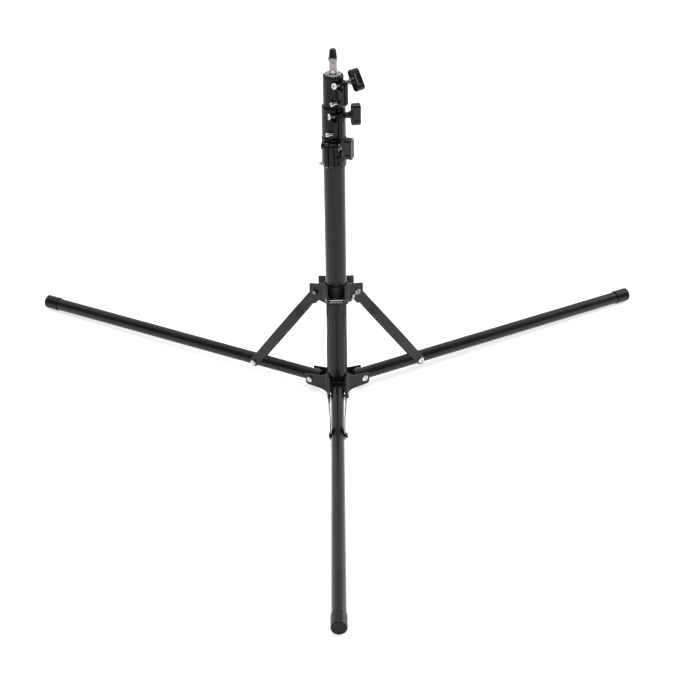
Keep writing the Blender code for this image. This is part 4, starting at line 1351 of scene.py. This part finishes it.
@dataclass
class Stud:
    """Chrome stud with its thread and the ribbed cap over it."""

    foot: float = 0.5853
    flange_radius: float = 0.013
    flange: float = 0.0025
    foot_radius: float = 0.0079
    foot_height: float = 0.004
    waist_radius: float = 0.00615
    waist_height: float = 0.0135
    ring_radius: float = 0.0071
    ring_height: float = 0.0035
    rim_radius: float = 0.008
    rim_height: float = 0.0045
    thread_radius: float = 0.00475
    thread_height: float = 0.011
    cap_foot: float = 0.0065
    cap_top: float = 0.0052
    cap_thickness: float = 0.0026
    ribs: int = 18

    @property
    def top(self) -> float:
        """Height of the rim's upper face, where the thread starts."""
        return (self.foot + self.flange + self.foot_height + self.waist_height
                + self.ring_height + self.rim_height)

    def spigot(self) -> Piece:
        """Turned stud from its thread down to its stem in the innermost tube.

        Returns:
            The stud.
        """
        flange = self.foot + self.flange
        waist = flange + self.foot_height
        ring = waist + self.waist_height
        rim = ring + self.ring_height
        top, crest = self.top, self.top + self.thread_height
        body = eased([
            (self.thread_radius - 0.0004, top), (self.rim_radius - 0.0008, top),
            (self.rim_radius, top - 0.0008), (self.rim_radius, rim + 0.0008),
            (self.ring_radius, rim), (self.ring_radius, ring + 0.0008), (self.waist_radius, ring),
            (self.waist_radius, waist + 0.0008), (self.foot_radius, waist - 0.0006),
            (self.foot_radius, flange + 0.0005), (self.flange_radius - 0.0006, flange),
            (self.flange_radius, flange - 0.0005), (self.flange_radius, self.foot),
            (0.0087, self.foot), (0.0087, self.foot - 0.025)], 0.0004)
        profile = [
            (0, crest), (self.thread_radius - 0.0008, crest),
            *thread(self.thread_radius, crest - 0.0006, top + 0.0008, 0.0013), *body,
            (0, self.foot - 0.025)]
        return Bench.polish(Bench.turn("stud_turned", profile, 72))

    def cap(self) -> Piece:
        """Tapered cap with grip ribs, open below.

        Returns:
            The cap.
        """
        low = self.top + GAP
        inside = self.top + self.thread_height + GAP
        high = inside + self.cap_thickness
        bore = self.thread_radius + GAP
        taper = (self.cap_top - self.cap_foot) / (high - low)

        def side(height: float) -> Point:
            """Point on the cap's tapered side."""
            return self.cap_foot + taper * (height - low), height

        profile = [
            (0, high), *eased([
                (self.cap_top - 0.0012, high), (self.cap_top, high - 0.0008),
                side(high - 0.0026)], 0.0006),
            side(high - 0.0030), side(low + 0.0022), side(low + 0.0018), side(low + 0.0004),
            (self.cap_foot - 0.0003, low), (bore, low), (bore, inside), (0, inside)]
        cap = Bench.turn("thread_cap_ribbed", profile, 4 * self.ribs)
        Bench.take(cap)
        Bench.mode("EDIT")
        bpy.ops.mesh.select_mode(type="FACE")
        bpy.ops.mesh.select_all(action="DESELECT")
        shape = bmesh.from_edit_mesh(cap.data)
        for face in shape.faces:
            centre = face.calc_center_median()
            tall = max(v.co.z for v in face.verts) - min(v.co.z for v in face.verts) > 0.006
            turn = atan2(centre.y, centre.x) % (2 * pi)
            groove = int(turn / (2 * pi) * 4 * self.ribs) % 4 < 2
            face.select = tall and groove and Vector(centre[:2]).length > bore + 0.0003
        bmesh.update_edit_mesh(cap.data)
        bpy.ops.mesh.inset(thickness=0.00008, depth=-0.00035)
        bpy.ops.mesh.select_mode(type="VERT")
        Bench.close_up()
        return Bench.polish(cap, 28)

    def build(self, shop: PaintShop) -> None:
        """Builds and dresses the stud and its cap."""
        shop.dress(self.spigot(), Coat.CHROME, "tube_4", "spigot")
        shop.dress(self.cap(), Coat.BLACK_RUBBER, "thread_cap", "thread_cap")


# Folded plates


@dataclass
class FoldedPlate:
    """A V-shaped plate whose ears lie beside two legs, and whose bend hugs a round core."""

    ear_inner: float
    core_radius: float
    outline: list[Point]
    thickness: float = 0.0022
    least_bend: float = 0.003
    edge: float = 0.0004

    def build(self, name: str) -> Piece:
        """Folds the plate at +X and cuts its ears to the side outline; its edges stay sharp.

        Args:
            name: Name of the piece.

        Returns:
            The plate.
        """
        middle = self.ear_inner + self.thickness / 2
        touching = self.core_radius + GAP + self.thickness / 2
        corner = middle / sin(radians(60))
        easing = 1 / cos(radians(30)) - 1
        bend_radius = max((touching - corner) / easing, self.least_bend)
        nearest = corner + bend_radius * easing
        bend = arc((nearest + bend_radius, 0), bend_radius, radians(186), radians(150), 10)
        way = Vector((cos(radians(60)), sin(radians(60))))
        end = Vector(bend[-1]) + way * WIDE / 2
        half = Bench.slab(name, ribbon([*bend, tuple(end)], self.thickness), -WIDE / 2, WIDE / 2)
        side = Bench.slab("side", self.outline, -WIDE / 2, WIDE / 2)
        Bench.place(side, Matrix.Rotation(radians(60), 4, "Z") @ ACROSS)
        Bench.common(half, side)
        mirror = half.modifiers.new("mirror", "MIRROR")
        mirror.use_axis = (False, True, False)
        mirror.use_bisect_axis = (False, True, False)
        mirror.merge_threshold = 1e-5
        mirror.bisect_threshold = 1e-6
        Bench.apply(half, mirror)
        Bench.take(half)
        Bench.mode("EDIT")
        bpy.ops.mesh.select_all(action="SELECT")
        bpy.ops.mesh.dissolve_limited(angle_limit=radians(0.5))
        Bench.close_up()
        return half

    def rounded(self, plate: Piece) -> Piece:
        """Rounds the edges of a plate once its cuts are made, and polishes it."""
        return Bench.polish(Bench.round_edges(plate, self.edge, worn=True))


@dataclass
class Hub:
    """Three folded plates with webs, and the pivot bolts of the legs."""

    pivot_radius: float = 0.046
    pivot_height: float = 0.019
    ear_inner: float = 0.0131
    thickness: float = 0.0022
    column_radius: float = COLUMN_RADIUS
    washer_low: float = 0.0113
    washer_thickness: float = 0.0015
    washer_radius: float = 0.007

    def outline(self) -> list[Point]:
        """Side view of an ear: tall at the column, narrow at the leg's bolt.

        Returns:
            The points of the closed outline.
        """
        tip, middle = self.pivot_radius + 0.0095, 0.0195
        top = curve_through((0.011, 0.023), (middle, 0.012), (0.028, 0.012), 8)
        bottom = curve_through((0.028, -0.0135), (middle, -0.0135), (0.011, -0.019), 8)
        return [(0, 0.023), *top, *curve_through(
            (tip - 0.0015, 0.0086), (tip, 0.0085), (tip, 0.0070), 4), (tip, -0.0075),
            *curve_through((tip - 0.0015, -0.0108), (tip - 0.0030, -0.0125),
                           (tip - 0.0065, -0.0125), 4), *bottom, (0, -0.019)]

    def plate(self) -> Piece:
        """One folded plate with its web and pivot holes, its bend at +X.

        Returns:
            The plate.
        """
        folded = FoldedPlate(
            self.ear_inner, self.column_radius, self.outline(), self.thickness)
        plate = folded.build("hub_plate")
        low = self.column_radius + 2 * GAP
        web = Bench.block("web", (low, GAP - self.ear_inner, -0.009),
                          (low + 0.0025, self.ear_inner + self.thickness / 2, 0.011))
        Bench.place(web, Matrix.Rotation(radians(-60), 4, "Z"))
        pivots = [
            Bench.place(Bench.rod("hole", HOLE_RADIUS, -0.03, 0.03, 32),
                        Matrix.Rotation(radians(turn), 4, "Z")
                        @ Matrix.Translation((self.pivot_radius, 0, 0)) @ ACROSS)
            for turn in (60, -60)]
        return folded.rounded(Bench.cut(Bench.unite(plate, web), *pivots))

    def build(self, shop: PaintShop, fasteners: Fasteners) -> None:
        """Builds and dresses the plates, and the bolt, nut and washers of each leg.

        Args:
            shop: Where the pieces get their finish.
            fasteners: The maker of the screws and nuts.
        """
        plate = self.plate()
        for number, azimuth in enumerate(PLATE_AZIMUTHS, 1):
            place = Matrix.Translation((0, 0, self.pivot_height)) @ Matrix.Rotation(azimuth, 4, "Z")
            shop.dress(Bench.twin(plate, f"hub_fold_{number}", place), Coat.SATIN_BLACK, "column",
                       f"hub_plate_{number}")
        grip = self.ear_inner + self.thickness + GAP
        bolt = fasteners.bolt("bolt", grip, -grip - fasteners.nut_height - fasteners.tip)
        nut = fasteners.nut("nut", -grip - fasteners.nut_height, -grip, fasteners.nut_radius,
                            fasteners.bolt_radius)
        high = self.washer_low + self.washer_thickness
        washer = fasteners.washer("washer", self.washer_low, high, self.washer_radius)
        flip = Matrix.Rotation(pi, 4, "X")
        for number, azimuth in enumerate(LEG_AZIMUTHS, 1):
            place = (Matrix.Rotation(azimuth, 4, "Z")
                     @ Matrix.Translation((self.pivot_radius, 0, self.pivot_height)) @ ACROSS)
            # Painted shade: the front leg's bolt and nut take the dark plate, the other legs zinc.
            special = shop.shade_painted_plate if number == 1 else shop.finishes[Coat.ZINC]
            shop.dress(Bench.twin(bolt, f"hub_pivot_bolt_{number}", place), Coat.CHROME, "column",
                       f"hub_bolt_{number}", special=special)
            shop.dress(Bench.twin(nut, f"hub_pivot_nut_{number}", place), Coat.CHROME, "column",
                       special=special)
            for side, turned in (("head", place), ("nut", place @ flip)):
                shop.dress(Bench.twin(washer, f"hub_washer_{number}_{side}_side", turned),
                           Coat.ZINC, "column")
        Bench.drop(plate, bolt, nut, washer)


# Legs and struts


@dataclass
class Leg:
    """One leg along +X from its hub pivot: tube, foot cap, plug and strut bolt."""

    radius: float = 0.011
    wall: float = 0.0012
    length: float = 0.5881
    slope: float = radians(1.169)
    tail: float = 0.0114
    strut_reach: float = 0.1175
    foot_length: float = 0.028
    foot_wall: float = 0.001
    foot_rim: float = 0.002
    end_wall: float = 0.0025
    grip: float = 0.0131
    hub: Hub = field(default_factory=Hub)

    def place(self, number: int) -> Matrix:
        """Place of one leg's own frame.

        Args:
            number: Number of the leg, from 1.

        Returns:
            The place.
        """
        return (Matrix.Rotation(LEG_AZIMUTHS[number - 1], 4, "Z")
                @ Matrix.Translation((self.hub.pivot_radius, 0, self.hub.pivot_height))
                @ Matrix.Rotation(self.slope, 4, "Y"))

    def tube(self) -> Piece:
        """Drawn tube with rolled ends and its two cross holes.

        Returns:
            The tube.
        """
        high, bore = self.length - self.end_wall - GAP, self.radius - self.wall
        tube = Bench.turn("leg_tube", eased(
            [(self.radius, high), (self.radius, -self.tail), (bore, -self.tail), (bore, high)],
            0.0004, closed=True), 72)
        holes = [
            Bench.place(Bench.rod("hole", HOLE_RADIUS, -0.02, 0.02, 32),
                        Matrix.Translation((reach, 0, 0)) @ ACROSS)
            for reach in (0, self.strut_reach)]
        return Bench.polish(Bench.cut(Bench.place(tube, ALONG), *holes))

    def foot(self) -> Piece:
        """Rubber foot cap: a straight skirt with a soft lip, a round rim and a shallow disc.

        Returns:
            The foot cap.
        """
        bore = self.radius + GAP
        outer, end = bore + self.foot_wall, self.length
        mouth = end - self.foot_length
        profile = [
            (0, end - 0.0004), (outer * 0.72, end - 0.0004), (outer * 0.77, end - 0.0001),
            (outer * 0.81, end),
            *arc((outer - self.foot_rim, end - self.foot_rim), self.foot_rim, pi / 2, 0, 6),
            *eased([
                (outer, end - 0.004), (outer, mouth), (bore, mouth), (bore, mouth + 0.003)],
                0.0004),
            (bore, end - self.end_wall), (0, end - self.end_wall)]
        return Bench.polish(Bench.place(Bench.turn("leg_foot", profile, 72), ALONG), 28)

    def plug(self) -> Piece:
        """Moulded plug in the hub end of the tube, with a rounded flange and a cross bore.

        Returns:
            The plug.
        """
        fit, flange = self.radius - self.wall - GAP, -self.tail - GAP
        profile = [
            (0, 0.030), *eased([
                (fit - 0.001, 0.030), (fit, 0.028), (fit, flange), (self.radius, flange),
                (self.radius, flange - 0.0015), (self.radius * 0.7, flange - 0.0015),
                (self.radius * 0.62, flange - 0.0008)], 0.0005),
            (0, flange - 0.0008)]
        plug = Bench.place(Bench.turn("leg_plug", profile, 48), ALONG)
        hole = Bench.place(Bench.rod("hole", HOLE_RADIUS, -0.02, 0.02, 32), ACROSS)
        return Bench.polish(Bench.cut(plug, hole))

    def build(self, shop: PaintShop, fasteners: Fasteners) -> None:
        """Builds and dresses the three legs.

        Args:
            shop: Where the pieces get their finish.
            fasteners: The maker of the screws and nuts.
        """
        bolt = fasteners.bolt("bolt", self.grip, -self.grip - fasteners.nut_height - fasteners.tip)
        nut = fasteners.nut("nut", -self.grip - fasteners.nut_height, -self.grip,
                            fasteners.nut_radius, fasteners.bolt_radius)
        strut_bolt = Matrix.Translation((self.strut_reach, 0, 0)) @ ACROSS
        kinds = [
            ("pipe", self.tube(), Coat.GLOSS_BLACK, "tube", Matrix()),
            ("foot_cap", self.foot(), Coat.BLACK_RUBBER, "foot", Matrix()),
            ("end_plug", self.plug(), Coat.BLACK_PLASTIC, "plug", Matrix()),
            ("brace_bolt", bolt, Coat.CHROME, "strut_bolt", strut_bolt),
            ("brace_nut", nut, Coat.CHROME, "", strut_bolt)]
        for number in (1, 2, 3):
            body = f"leg_{number}"
            for name, source, coat, node, where in kinds:
                piece = Bench.twin(source, f"{body}_{name}", self.place(number) @ where)
                nodes = [f"{body}_{node}"] if node else []
                special = shop.legs[number - 1] if coat is Coat.GLOSS_BLACK else None
                if coat is Coat.CHROME:
                    # Painted shade: the front leg's strut bolt and nut take the dark plate, the
                    # other legs zinc.
                    special = shop.shade_painted_plate if number == 1 else shop.finishes[Coat.ZINC]
                shop.dress(piece, coat, body, *nodes, special=special)
        Bench.drop(*(source for _, source, _, _, _ in kinds))


@dataclass
class Strut:
    """One strut: two bent strips on the leg's bolt, and the spacer pin at the slider."""

    leg: Leg
    inner: float = 0.0113
    thickness: float = 0.0015
    width: float = 0.016
    flare: float = 0.0037
    slider_pivot: Point = (0.032, 0.196)

    def reach(self) -> Point:
        """Way from the leg's strut bolt to the slider's pivot, as (outward, up).

        Returns:
            The way's two parts.
        """
        hub, leg = self.leg.hub, self.leg
        out = hub.pivot_radius + leg.strut_reach * cos(leg.slope)
        up = hub.pivot_height - leg.strut_reach * sin(leg.slope)
        return self.slider_pivot[0] - out, self.slider_pivot[1] - up

    def place(self, number: int) -> Matrix:
        """Place of one strut's own frame, its slider end along +X.

        Args:
            number: Number of the strut, from 1.

        Returns:
            The place.
        """
        out, up = self.reach()
        rise = atan2(up, out) + self.leg.slope
        return (self.leg.place(number) @ Matrix.Translation((self.leg.strut_reach, 0, 0))
                @ Matrix.Rotation(-rise, 4, "Y"))

    def strip(self, side: int) -> Piece:
        """Strip with soft bends, round ends and two holes.

        Args:
            side: 1 for the strip on +Y, -1 for the other.

        Returns:
            The strip.
        """
        length, end = hypot(*self.reach()), self.width / 2
        pinched = self.inner + self.thickness / 2
        flared = pinched + self.flare
        path = eased([
            (-2 * end, pinched), (0.027, pinched), (0.072, flared), (length - 0.062, flared),
            (length - 0.048, pinched), (length + 2 * end, pinched)], 0.006, steps=5)
        bent = Bench.slab("strip", ribbon(path, self.thickness), -self.width, self.width)
        outline = Bench.slab("outline", [
            *arc((0, 0), end, pi / 2, 3 * pi / 2, 24),
            *arc((length, 0), end, -pi / 2, pi / 2, 24)], -WIDE / 2, WIDE / 2)
        Bench.common(bent, Bench.place(outline, ACROSS))
        if side < 0:
            Bench.place(bent, Matrix.Rotation(pi, 4, "X"))
        holes = [
            Bench.place(Bench.rod("hole", HOLE_RADIUS, -0.03, 0.03, 32),
                        Matrix.Translation((reach, 0, 0)) @ ACROSS)
            for reach in (0, length)]
        Bench.cut(bent, *holes)
        return Bench.polish(Bench.round_edges(bent, 0.0003, 3, worn=True))

    def spacer(self) -> Piece:
        """Spacer pin with a collar at each end, whose rivets fill the strips' holes.

        Returns:
            The pin.
        """
        body, end, radius = self.inner - GAP, self.inner + self.thickness, 0.004
        upper = eased([
            (0.003, end), (0.003, body), (radius, body), (radius, body - 0.0012),
            (radius - 0.0005, body - 0.0016)], 0.0002)
        profile = [(0, end), *upper, *[(across, -up) for across, up in reversed(upper)], (0, -end)]
        length = hypot(*self.reach())
        pin = Bench.turn("spacer", profile, 40)
        return Bench.polish(Bench.place(pin, Matrix.Translation((length, 0, 0)) @ ACROSS))

    def build(self, shop: PaintShop) -> None:
        """Builds and dresses the three struts.

        Args:
            shop: Where the pieces get their finish.
        """
        kinds = [
            ("left_bar", self.strip(1), Coat.SATIN_BLACK, "left_strip"),
            ("right_bar", self.strip(-1), Coat.SATIN_BLACK, "right_strip"),
            ("pin", self.spacer(), Coat.CHROME, "spacer")]
        for number in (1, 2, 3):
            body = f"strut_{number}"
            for name, source, coat, node in kinds:
                piece = Bench.twin(source, f"{body}_{name}", self.place(number))
                shop.dress(piece, coat, body, f"{body}_{node}")
        Bench.drop(*(source for _, source, _, _ in kinds))


# Sliding collar


@dataclass
class Slider:
    """Sliding collar: band, folded plates with a clamp slit, bush, screws and pivots."""

    pivot_radius: float = 0.032
    height: float = 0.196
    ear_inner: float = 0.0140
    thickness: float = 0.0022
    bore: float = 0.0192
    band_wall: float = 0.0014
    low: float = -0.016
    high: float = 0.019
    slit: float = 0.0016
    bush_bore: float = 0.0178
    bush_top: float = 0.020
    screw_radius: float = 0.0029
    screw_height: float = 0.0024
    stud_inner: float = 0.0131

    def outline(self) -> list[Point]:
        """Side view of an ear: a square tip that reaches down, and an arch inside it.

        Returns:
            The points of the closed outline.
        """
        tip = self.pivot_radius + 0.011
        return [
            (0, 0.019), (0.0175, 0.019), *curve_through(
                (tip - 0.0015, 0.0138), (tip, 0.0135), (tip, 0.0118), 4),
            *curve_through((tip, -0.0215), (tip, -0.023), (tip - 0.0015, -0.023), 4),
            (tip - 0.010, -0.023), *curve_through(
                (0.0300, -0.0210), (0.0262, -0.0152), (0.024, -0.0145), 5),
            (0.0175, -0.016), (0, -0.016)]

    def screw_places(self) -> list[Matrix]:
        """Places of the two clamp screws, in the ear of leg 2 that faces leg 1.

        Returns:
            The two places.
        """
        leg = Matrix.Rotation(LEG_AZIMUTHS[1], 4, "Z")
        upper = Vector((self.pivot_radius - 0.0086, 0, -0.0050))
        lower = upper - Vector((0.0014, 0, 0.0054))
        return [leg @ Matrix.Translation(place) @ ACROSS for place in (upper, lower)]

    def bracket(self) -> list[Piece]:
        """Band and folded plates, slit between leg 1 and leg 2.

        Returns:
            The band and the three plates.
        """
        outer = self.bore + self.band_wall
        band = Bench.turn("slider_band", eased([
            (outer, self.high), (outer, self.low), (self.bore, self.low), (self.bore, self.high)],
            0.0004, closed=True), 96)
        Bench.polish(Bench.cut(band, self.slit_cutter()))
        folded = FoldedPlate(self.ear_inner, self.bore - GAP, self.outline(), self.thickness)
        source = folded.build("fold")
        pieces = [band]
        for number, azimuth in enumerate(PLATE_AZIMUTHS, 1):
            fold = Bench.twin(source, f"slider_fold_{number}", Matrix.Rotation(azimuth, 4, "Z"))
            if number == 1:
                holes = [Bench.place(Bench.rod("hole", 0.0019, 0, WIDE, 24), place)
                         for place in self.screw_places()]
                Bench.cut(fold, self.slit_cutter(), *holes)
            pieces.append(folded.rounded(fold))
        Bench.drop(source)
        lift = Matrix.Translation((0, 0, self.height))
        return [Bench.place(piece, lift) for piece in pieces]

    def slit_cutter(self) -> Piece:
        """Cutter of the clamp slit."""
        slit = Bench.block("slit", (0, -self.slit / 2, -0.09), (0.033, self.slit / 2, 0.09))
        return Bench.place(slit, Matrix.Rotation(PLATE_AZIMUTHS[0], 4, "Z"))

    def bush(self) -> Piece:
        """Moulded bush with rounded lips, between the bracket and the column.

        Returns:
            The bush.
        """
        outer, bore, top = self.bore - GAP, self.bush_bore, self.bush_top
        bush = Bench.turn("slider_moulded_bush", eased([
            (outer, top), (outer, self.low), (bore, self.low), (bore, top)], 0.0003,
            closed=True), 96)
        return Bench.polish(Bench.place(bush, Matrix.Translation((0, 0, self.height))))

    def clamp_screw(self, fasteners: Fasteners) -> Piece:
        """Small screw that closes the slit, its head above +Z.

        Args:
            fasteners: The maker of the screws and nuts.

        Returns:
            The screw.
        """
        outer = self.ear_inner + self.thickness + GAP
        tip = self.ear_inner - 0.0008
        head = [(across, outer + up)
                for across, up in fasteners.head_profile(
                    self.screw_radius, self.screw_height, 0.0009)]
        screw = Bench.turn("screw", [
            *head, (0.0016, outer), *thread(0.0016, outer - 0.0003, tip, 0.0007), (0, tip)], 32)
        Bench.cut(screw, fasteners.cross("cross", outer + self.screw_height, 0.0018, 0.0009))
        return Bench.polish(screw)

    def build(self, shop: PaintShop, fasteners: Fasteners) -> None:
        """Builds and dresses the sliding collar and its pivots.

        Args:
            shop: Where the pieces get their finish.
            fasteners: The maker of the screws and nuts.
        """
        for piece in self.bracket():
            shop.dress(piece, Coat.SATIN_BLACK, "slider", "slider_bracket")
        shop.dress(self.bush(), Coat.BLACK_PLASTIC, "slider", "slider_bush")
        lift = Matrix.Translation((0, 0, self.height))
        screw = self.clamp_screw(fasteners)
        for number, place in enumerate(self.screw_places(), 1):
            piece = Bench.twin(screw, f"slider_small_screw_{number}", lift @ place)
            shop.dress(piece, Coat.ZINC, "slider", f"slider_clamp_screw_{number}")
        ear = self.ear_inner + self.thickness
        radius = fasteners.bolt_radius
        head = [(across, ear + up) for across, up in fasteners.head_profile(
            fasteners.head_radius, fasteners.head_height, fasteners.rim_height)]
        inner = self.stud_inner
        stud = Bench.turn("stud", [*head, (radius, ear), (radius, inner), (0, inner)], 40)
        top = ear + fasteners.head_height
        Bench.cut(stud, fasteners.cross("cross", top, fasteners.head_radius * 0.62, 0.0016))
        Bench.polish(stud)
        nut = fasteners.nut("nut", -ear - fasteners.nut_height, -ear, fasteners.nut_radius, radius)
        end = -ear - fasteners.nut_height - fasteners.tip
        tail = Bench.polish(Bench.turn("tail", [
            (0, -inner), (radius, -inner), (radius, -ear),
            *thread(radius, -ear - 0.0004, end + 0.0005), (radius - 0.0006, end), (0, end)], 40))
        for number, azimuth in enumerate(LEG_AZIMUTHS, 1):
            place = (lift @ Matrix.Rotation(azimuth, 4, "Z")
                     @ Matrix.Translation((self.pivot_radius, 0, 0)) @ ACROSS)
            for name, source, coat in (("head", stud, Coat.CHROME), ("tail", tail, Coat.CHROME),
                                       ("nut", nut, Coat.SATIN_BLACK)):
                piece = Bench.twin(source, f"slider_pivot_{name}_{number}", place)
                shop.dress(piece, coat, "slider")
        Bench.drop(screw, stud, nut, tail)


# Studio


@dataclass(frozen=True)
class Softbox:
    """One soft lamp: where it stands, its width and height, and its power in watts."""

    name: str
    place: tuple[float, float, float]
    size: Point
    energy: float


SOFTBOXES = (
    Softbox("right_softbox", (2.4, 1.25, 1.25), (1.2, 1.9), 50),
    Softbox("left_softbox", (-2.4, 1.25, 1.2), (1.0, 1.9), 13),
    Softbox("top_softbox", (0.0, 0.1, 2.7), (1.7, 1.0), 36),
)


@dataclass
class Studio:
    """Pale floor, soft lights and the camera at the photograph's angle."""

    focal: float = 1667.623
    distance: float = 2.891899
    rise: float = radians(32.301)
    swing: float = radians(0.256)
    pitch: float = radians(1.418)
    yaw: float = radians(0.106)
    roll: float = radians(-0.827)
    aim_height: float = 0.019
    frame_width: int = 680
    sensor: float = 36.0
    world_strength: float = 0.30
    floor_glow: float = 0.66
    front_radius: float = 4.6
    front_foot: float = 0.35
    front_wall: float = 2.6
    front_slope: float = 1.5
    front_narrowing: float = 0.45

    def camera(self) -> None:
        """Adds the camera, turned as the photograph's was."""
        place = Vector((
            cos(self.rise) * sin(self.swing), -cos(self.rise) * cos(self.swing),
            sin(self.rise))) * self.distance
        ahead = -place.normalized()
        right = ahead.cross(Vector((0, 0, 1))).normalized()
        up = right.cross(ahead)
        ahead = (ahead + tan(self.yaw) * right + tan(self.pitch) * up).normalized()
        right = ahead.cross(up).normalized()
        up = right.cross(ahead)
        level = cos(self.roll) * right + sin(self.roll) * up
        top = cos(self.roll) * up - sin(self.roll) * right
        data = bpy.data.cameras.new("camera")
        data.sensor_width = self.sensor
        data.lens = self.focal * self.sensor / self.frame_width
        camera = bpy.data.objects.new("camera", data)
        bpy.context.scene.collection.objects.link(camera)
        axes = Matrix((level, top, -ahead)).transposed().to_4x4()
        camera.matrix_world = Matrix.Translation(place + Vector((0, 0, self.aim_height))) @ axes
        bpy.context.scene.camera = camera

    def lamp(self, softbox: Softbox, aim: Sequence[float] = (0, 0, 0.3)) -> None:
        """Adds a soft rectangular lamp that looks at the stand.

        Args:
            softbox: The lamp's name, place, size and power.
            aim: The point that it looks at.
        """
        data = bpy.data.lights.new(softbox.name, "AREA")
        data.shape = "RECTANGLE"
        data.size, data.size_y = softbox.size
        data.energy = softbox.energy
        lamp = bpy.data.objects.new(softbox.name, data)
        bpy.context.scene.collection.objects.link(lamp)
        way = Vector(aim) - Vector(softbox.place)
        lamp.location = softbox.place
        lamp.rotation_euler = way.to_track_quat("-Z", "Y").to_euler()

    @staticmethod
    def seen(tree: bpy.types.NodeTree) -> Socket:
        """Adds nodes that give 1 for what the eye sees directly, in gloss or through glass.

        Args:
            tree: The node tree that gets them.

        Returns:
            The socket that gives it.
        """
        path = tree.nodes.new("ShaderNodeLightPath")
        total = path.outputs["Is Camera Ray"]
        for name in ("Is Glossy Ray", "Is Transmission Ray"):
            node = tree.nodes.new("ShaderNodeMath")
            node.operation = "ADD"
            node.use_clamp = True
            tree.links.new(total, node.inputs[0])
            tree.links.new(path.outputs[name], node.inputs[1])
            total = node.outputs[0]
        return total

    def backdrop(self) -> None:
        """Sets a white surround that lights the stand more weakly than it looks."""
        world = bpy.data.worlds.new("surround")
        world.use_nodes = True
        bpy.context.scene.world = world
        tree = world.node_tree
        mix = tree.nodes.new("ShaderNodeMapRange")
        mix.inputs["To Min"].default_value = self.world_strength
        mix.inputs["To Max"].default_value = 1.0
        tree.links.new(self.seen(tree), mix.inputs["Value"])
        background = tree.nodes["Background"]
        background.inputs["Color"].default_value = (1, 1, 1, 1)
        tree.links.new(mix.outputs["Result"], background.inputs["Strength"])

    def floor(self, height: float) -> None:
        """Adds the floor, which keeps the stand's shadow.

        Args:
            height: Height of the lowest point of the stand.
        """
        Bench.take()
        bpy.ops.mesh.primitive_plane_add(size=40, location=(0, 0, height))
        floor = Bench.place(Bench.fresh("floor"))
        material = bpy.data.materials.new("pale_floor")
        material.use_nodes = True
        tree = material.node_tree
        shader = tree.nodes["Principled BSDF"]
        shader.inputs["Base Color"].default_value = (0.9, 0.9, 0.9, 1)
        shader.inputs["Roughness"].default_value = 1.0
        shader.inputs["Specular IOR Level"].default_value = 0.0
        shader.inputs["Emission Color"].default_value = (1, 1, 1, 1)
        glow = tree.nodes.new("ShaderNodeMath")
        glow.operation = "MULTIPLY"
        glow.inputs[1].default_value = self.floor_glow
        tree.links.new(self.seen(tree), glow.inputs[0])
        tree.links.new(glow.outputs[0], shader.inputs["Emission Strength"])
        floor.data.materials.append(material)
        floor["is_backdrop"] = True

    def dark_room(self) -> None:
        """Adds the unlit front of the studio, which only gloss shows, out of the camera's sight."""
        Bench.take()
        wall = arc((0, 0), self.front_radius, radians(-195), radians(15), 30)
        room = Bench.line("studio_front", [(x, y, self.front_foot) for x, y in wall])
        for rise in (self.front_wall, self.front_slope):
            bpy.ops.mesh.extrude_region_move(TRANSFORM_OT_translate={"value": (0, 0, rise)})
        narrowing = (self.front_narrowing, self.front_narrowing, 1)
        bpy.ops.transform.resize(value=narrowing, center_override=(0, 0, 0))
        Bench.close_up()
        material = bpy.data.materials.new("dark_cloth")
        material.use_nodes = True
        material.node_tree.nodes["Principled BSDF"].inputs["Base Color"].default_value = (
            0.02, 0.02, 0.02, 1)
        room.data.materials.append(material)
        room.visible_camera = False
        room.visible_diffuse = False
        room.visible_shadow = False
        room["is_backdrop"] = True

    def build(self, low: float) -> None:
        """Sets up the camera, the lights, the surround and the floor.

        Args:
            low: Height of the lowest point of the stand.
        """
        self.camera()
        self.backdrop()
        self.floor(low)
        self.dark_room()
        for softbox in SOFTBOXES:
            self.lamp(softbox)
        bpy.context.scene.view_settings.view_transform = "Standard"


COLLARS = (
    ClampCollar(
        name="lower", body="column", stage=0, wall=0.0022, bolt_out=0.0210, bolt_up=0.041,
        screw_out=0.0217, boss_low=-0.0132, boss_high=0.0155, nut_seat=0.0085, recessed=False,
        shoulder=0.0068, stem=0.0028, bare_shoulder=True, angle=radians(-18.5), knob_tilt=0.0),
    ClampCollar(
        name="middle", body="tube_2", stage=1, wall=0.004, bolt_out=0.0187, bolt_up=0.040,
        screw_out=0.0192, boss_low=-0.001, boss_high=0.0127, nut_seat=0.0095, recessed=True,
        shoulder=0.0037, stem=0.0042, bare_shoulder=False, angle=radians(14), knob_tilt=0.0),
    ClampCollar(
        name="top", body="tube_3", stage=2, wall=0.0038, bolt_out=0.0185, bolt_up=0.040,
        screw_out=0.0167, boss_low=-0.001, boss_high=0.0078, nut_seat=0.0095, recessed=True,
        shoulder=0.0108, stem=0.0042, bare_shoulder=True, angle=radians(37),
        knob_tilt=radians(35)),
)


def main() -> None:
    """Builds the stand's sub-assemblies in order, and then the studio."""
    logging.basicConfig(level=logging.INFO, format="%(message)s")
    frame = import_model()
    cad_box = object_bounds()
    shop = PaintShop(frame["nodes"])
    fasteners = Fasteners()
    leg = Leg()
    Column().build(shop)
    for collar in COLLARS:
        collar.build(shop, fasteners)
    Stud().build(shop)
    leg.hub.build(shop, fasteners)
    leg.build(shop, fasteners)
    Strut(leg).build(shop)
    Slider().build(shop, fasteners)
    Studio().build(cad_box[0][2])
    log.info("%d pieces dressed", shop.count)


if __name__ == "__main__":
    main()
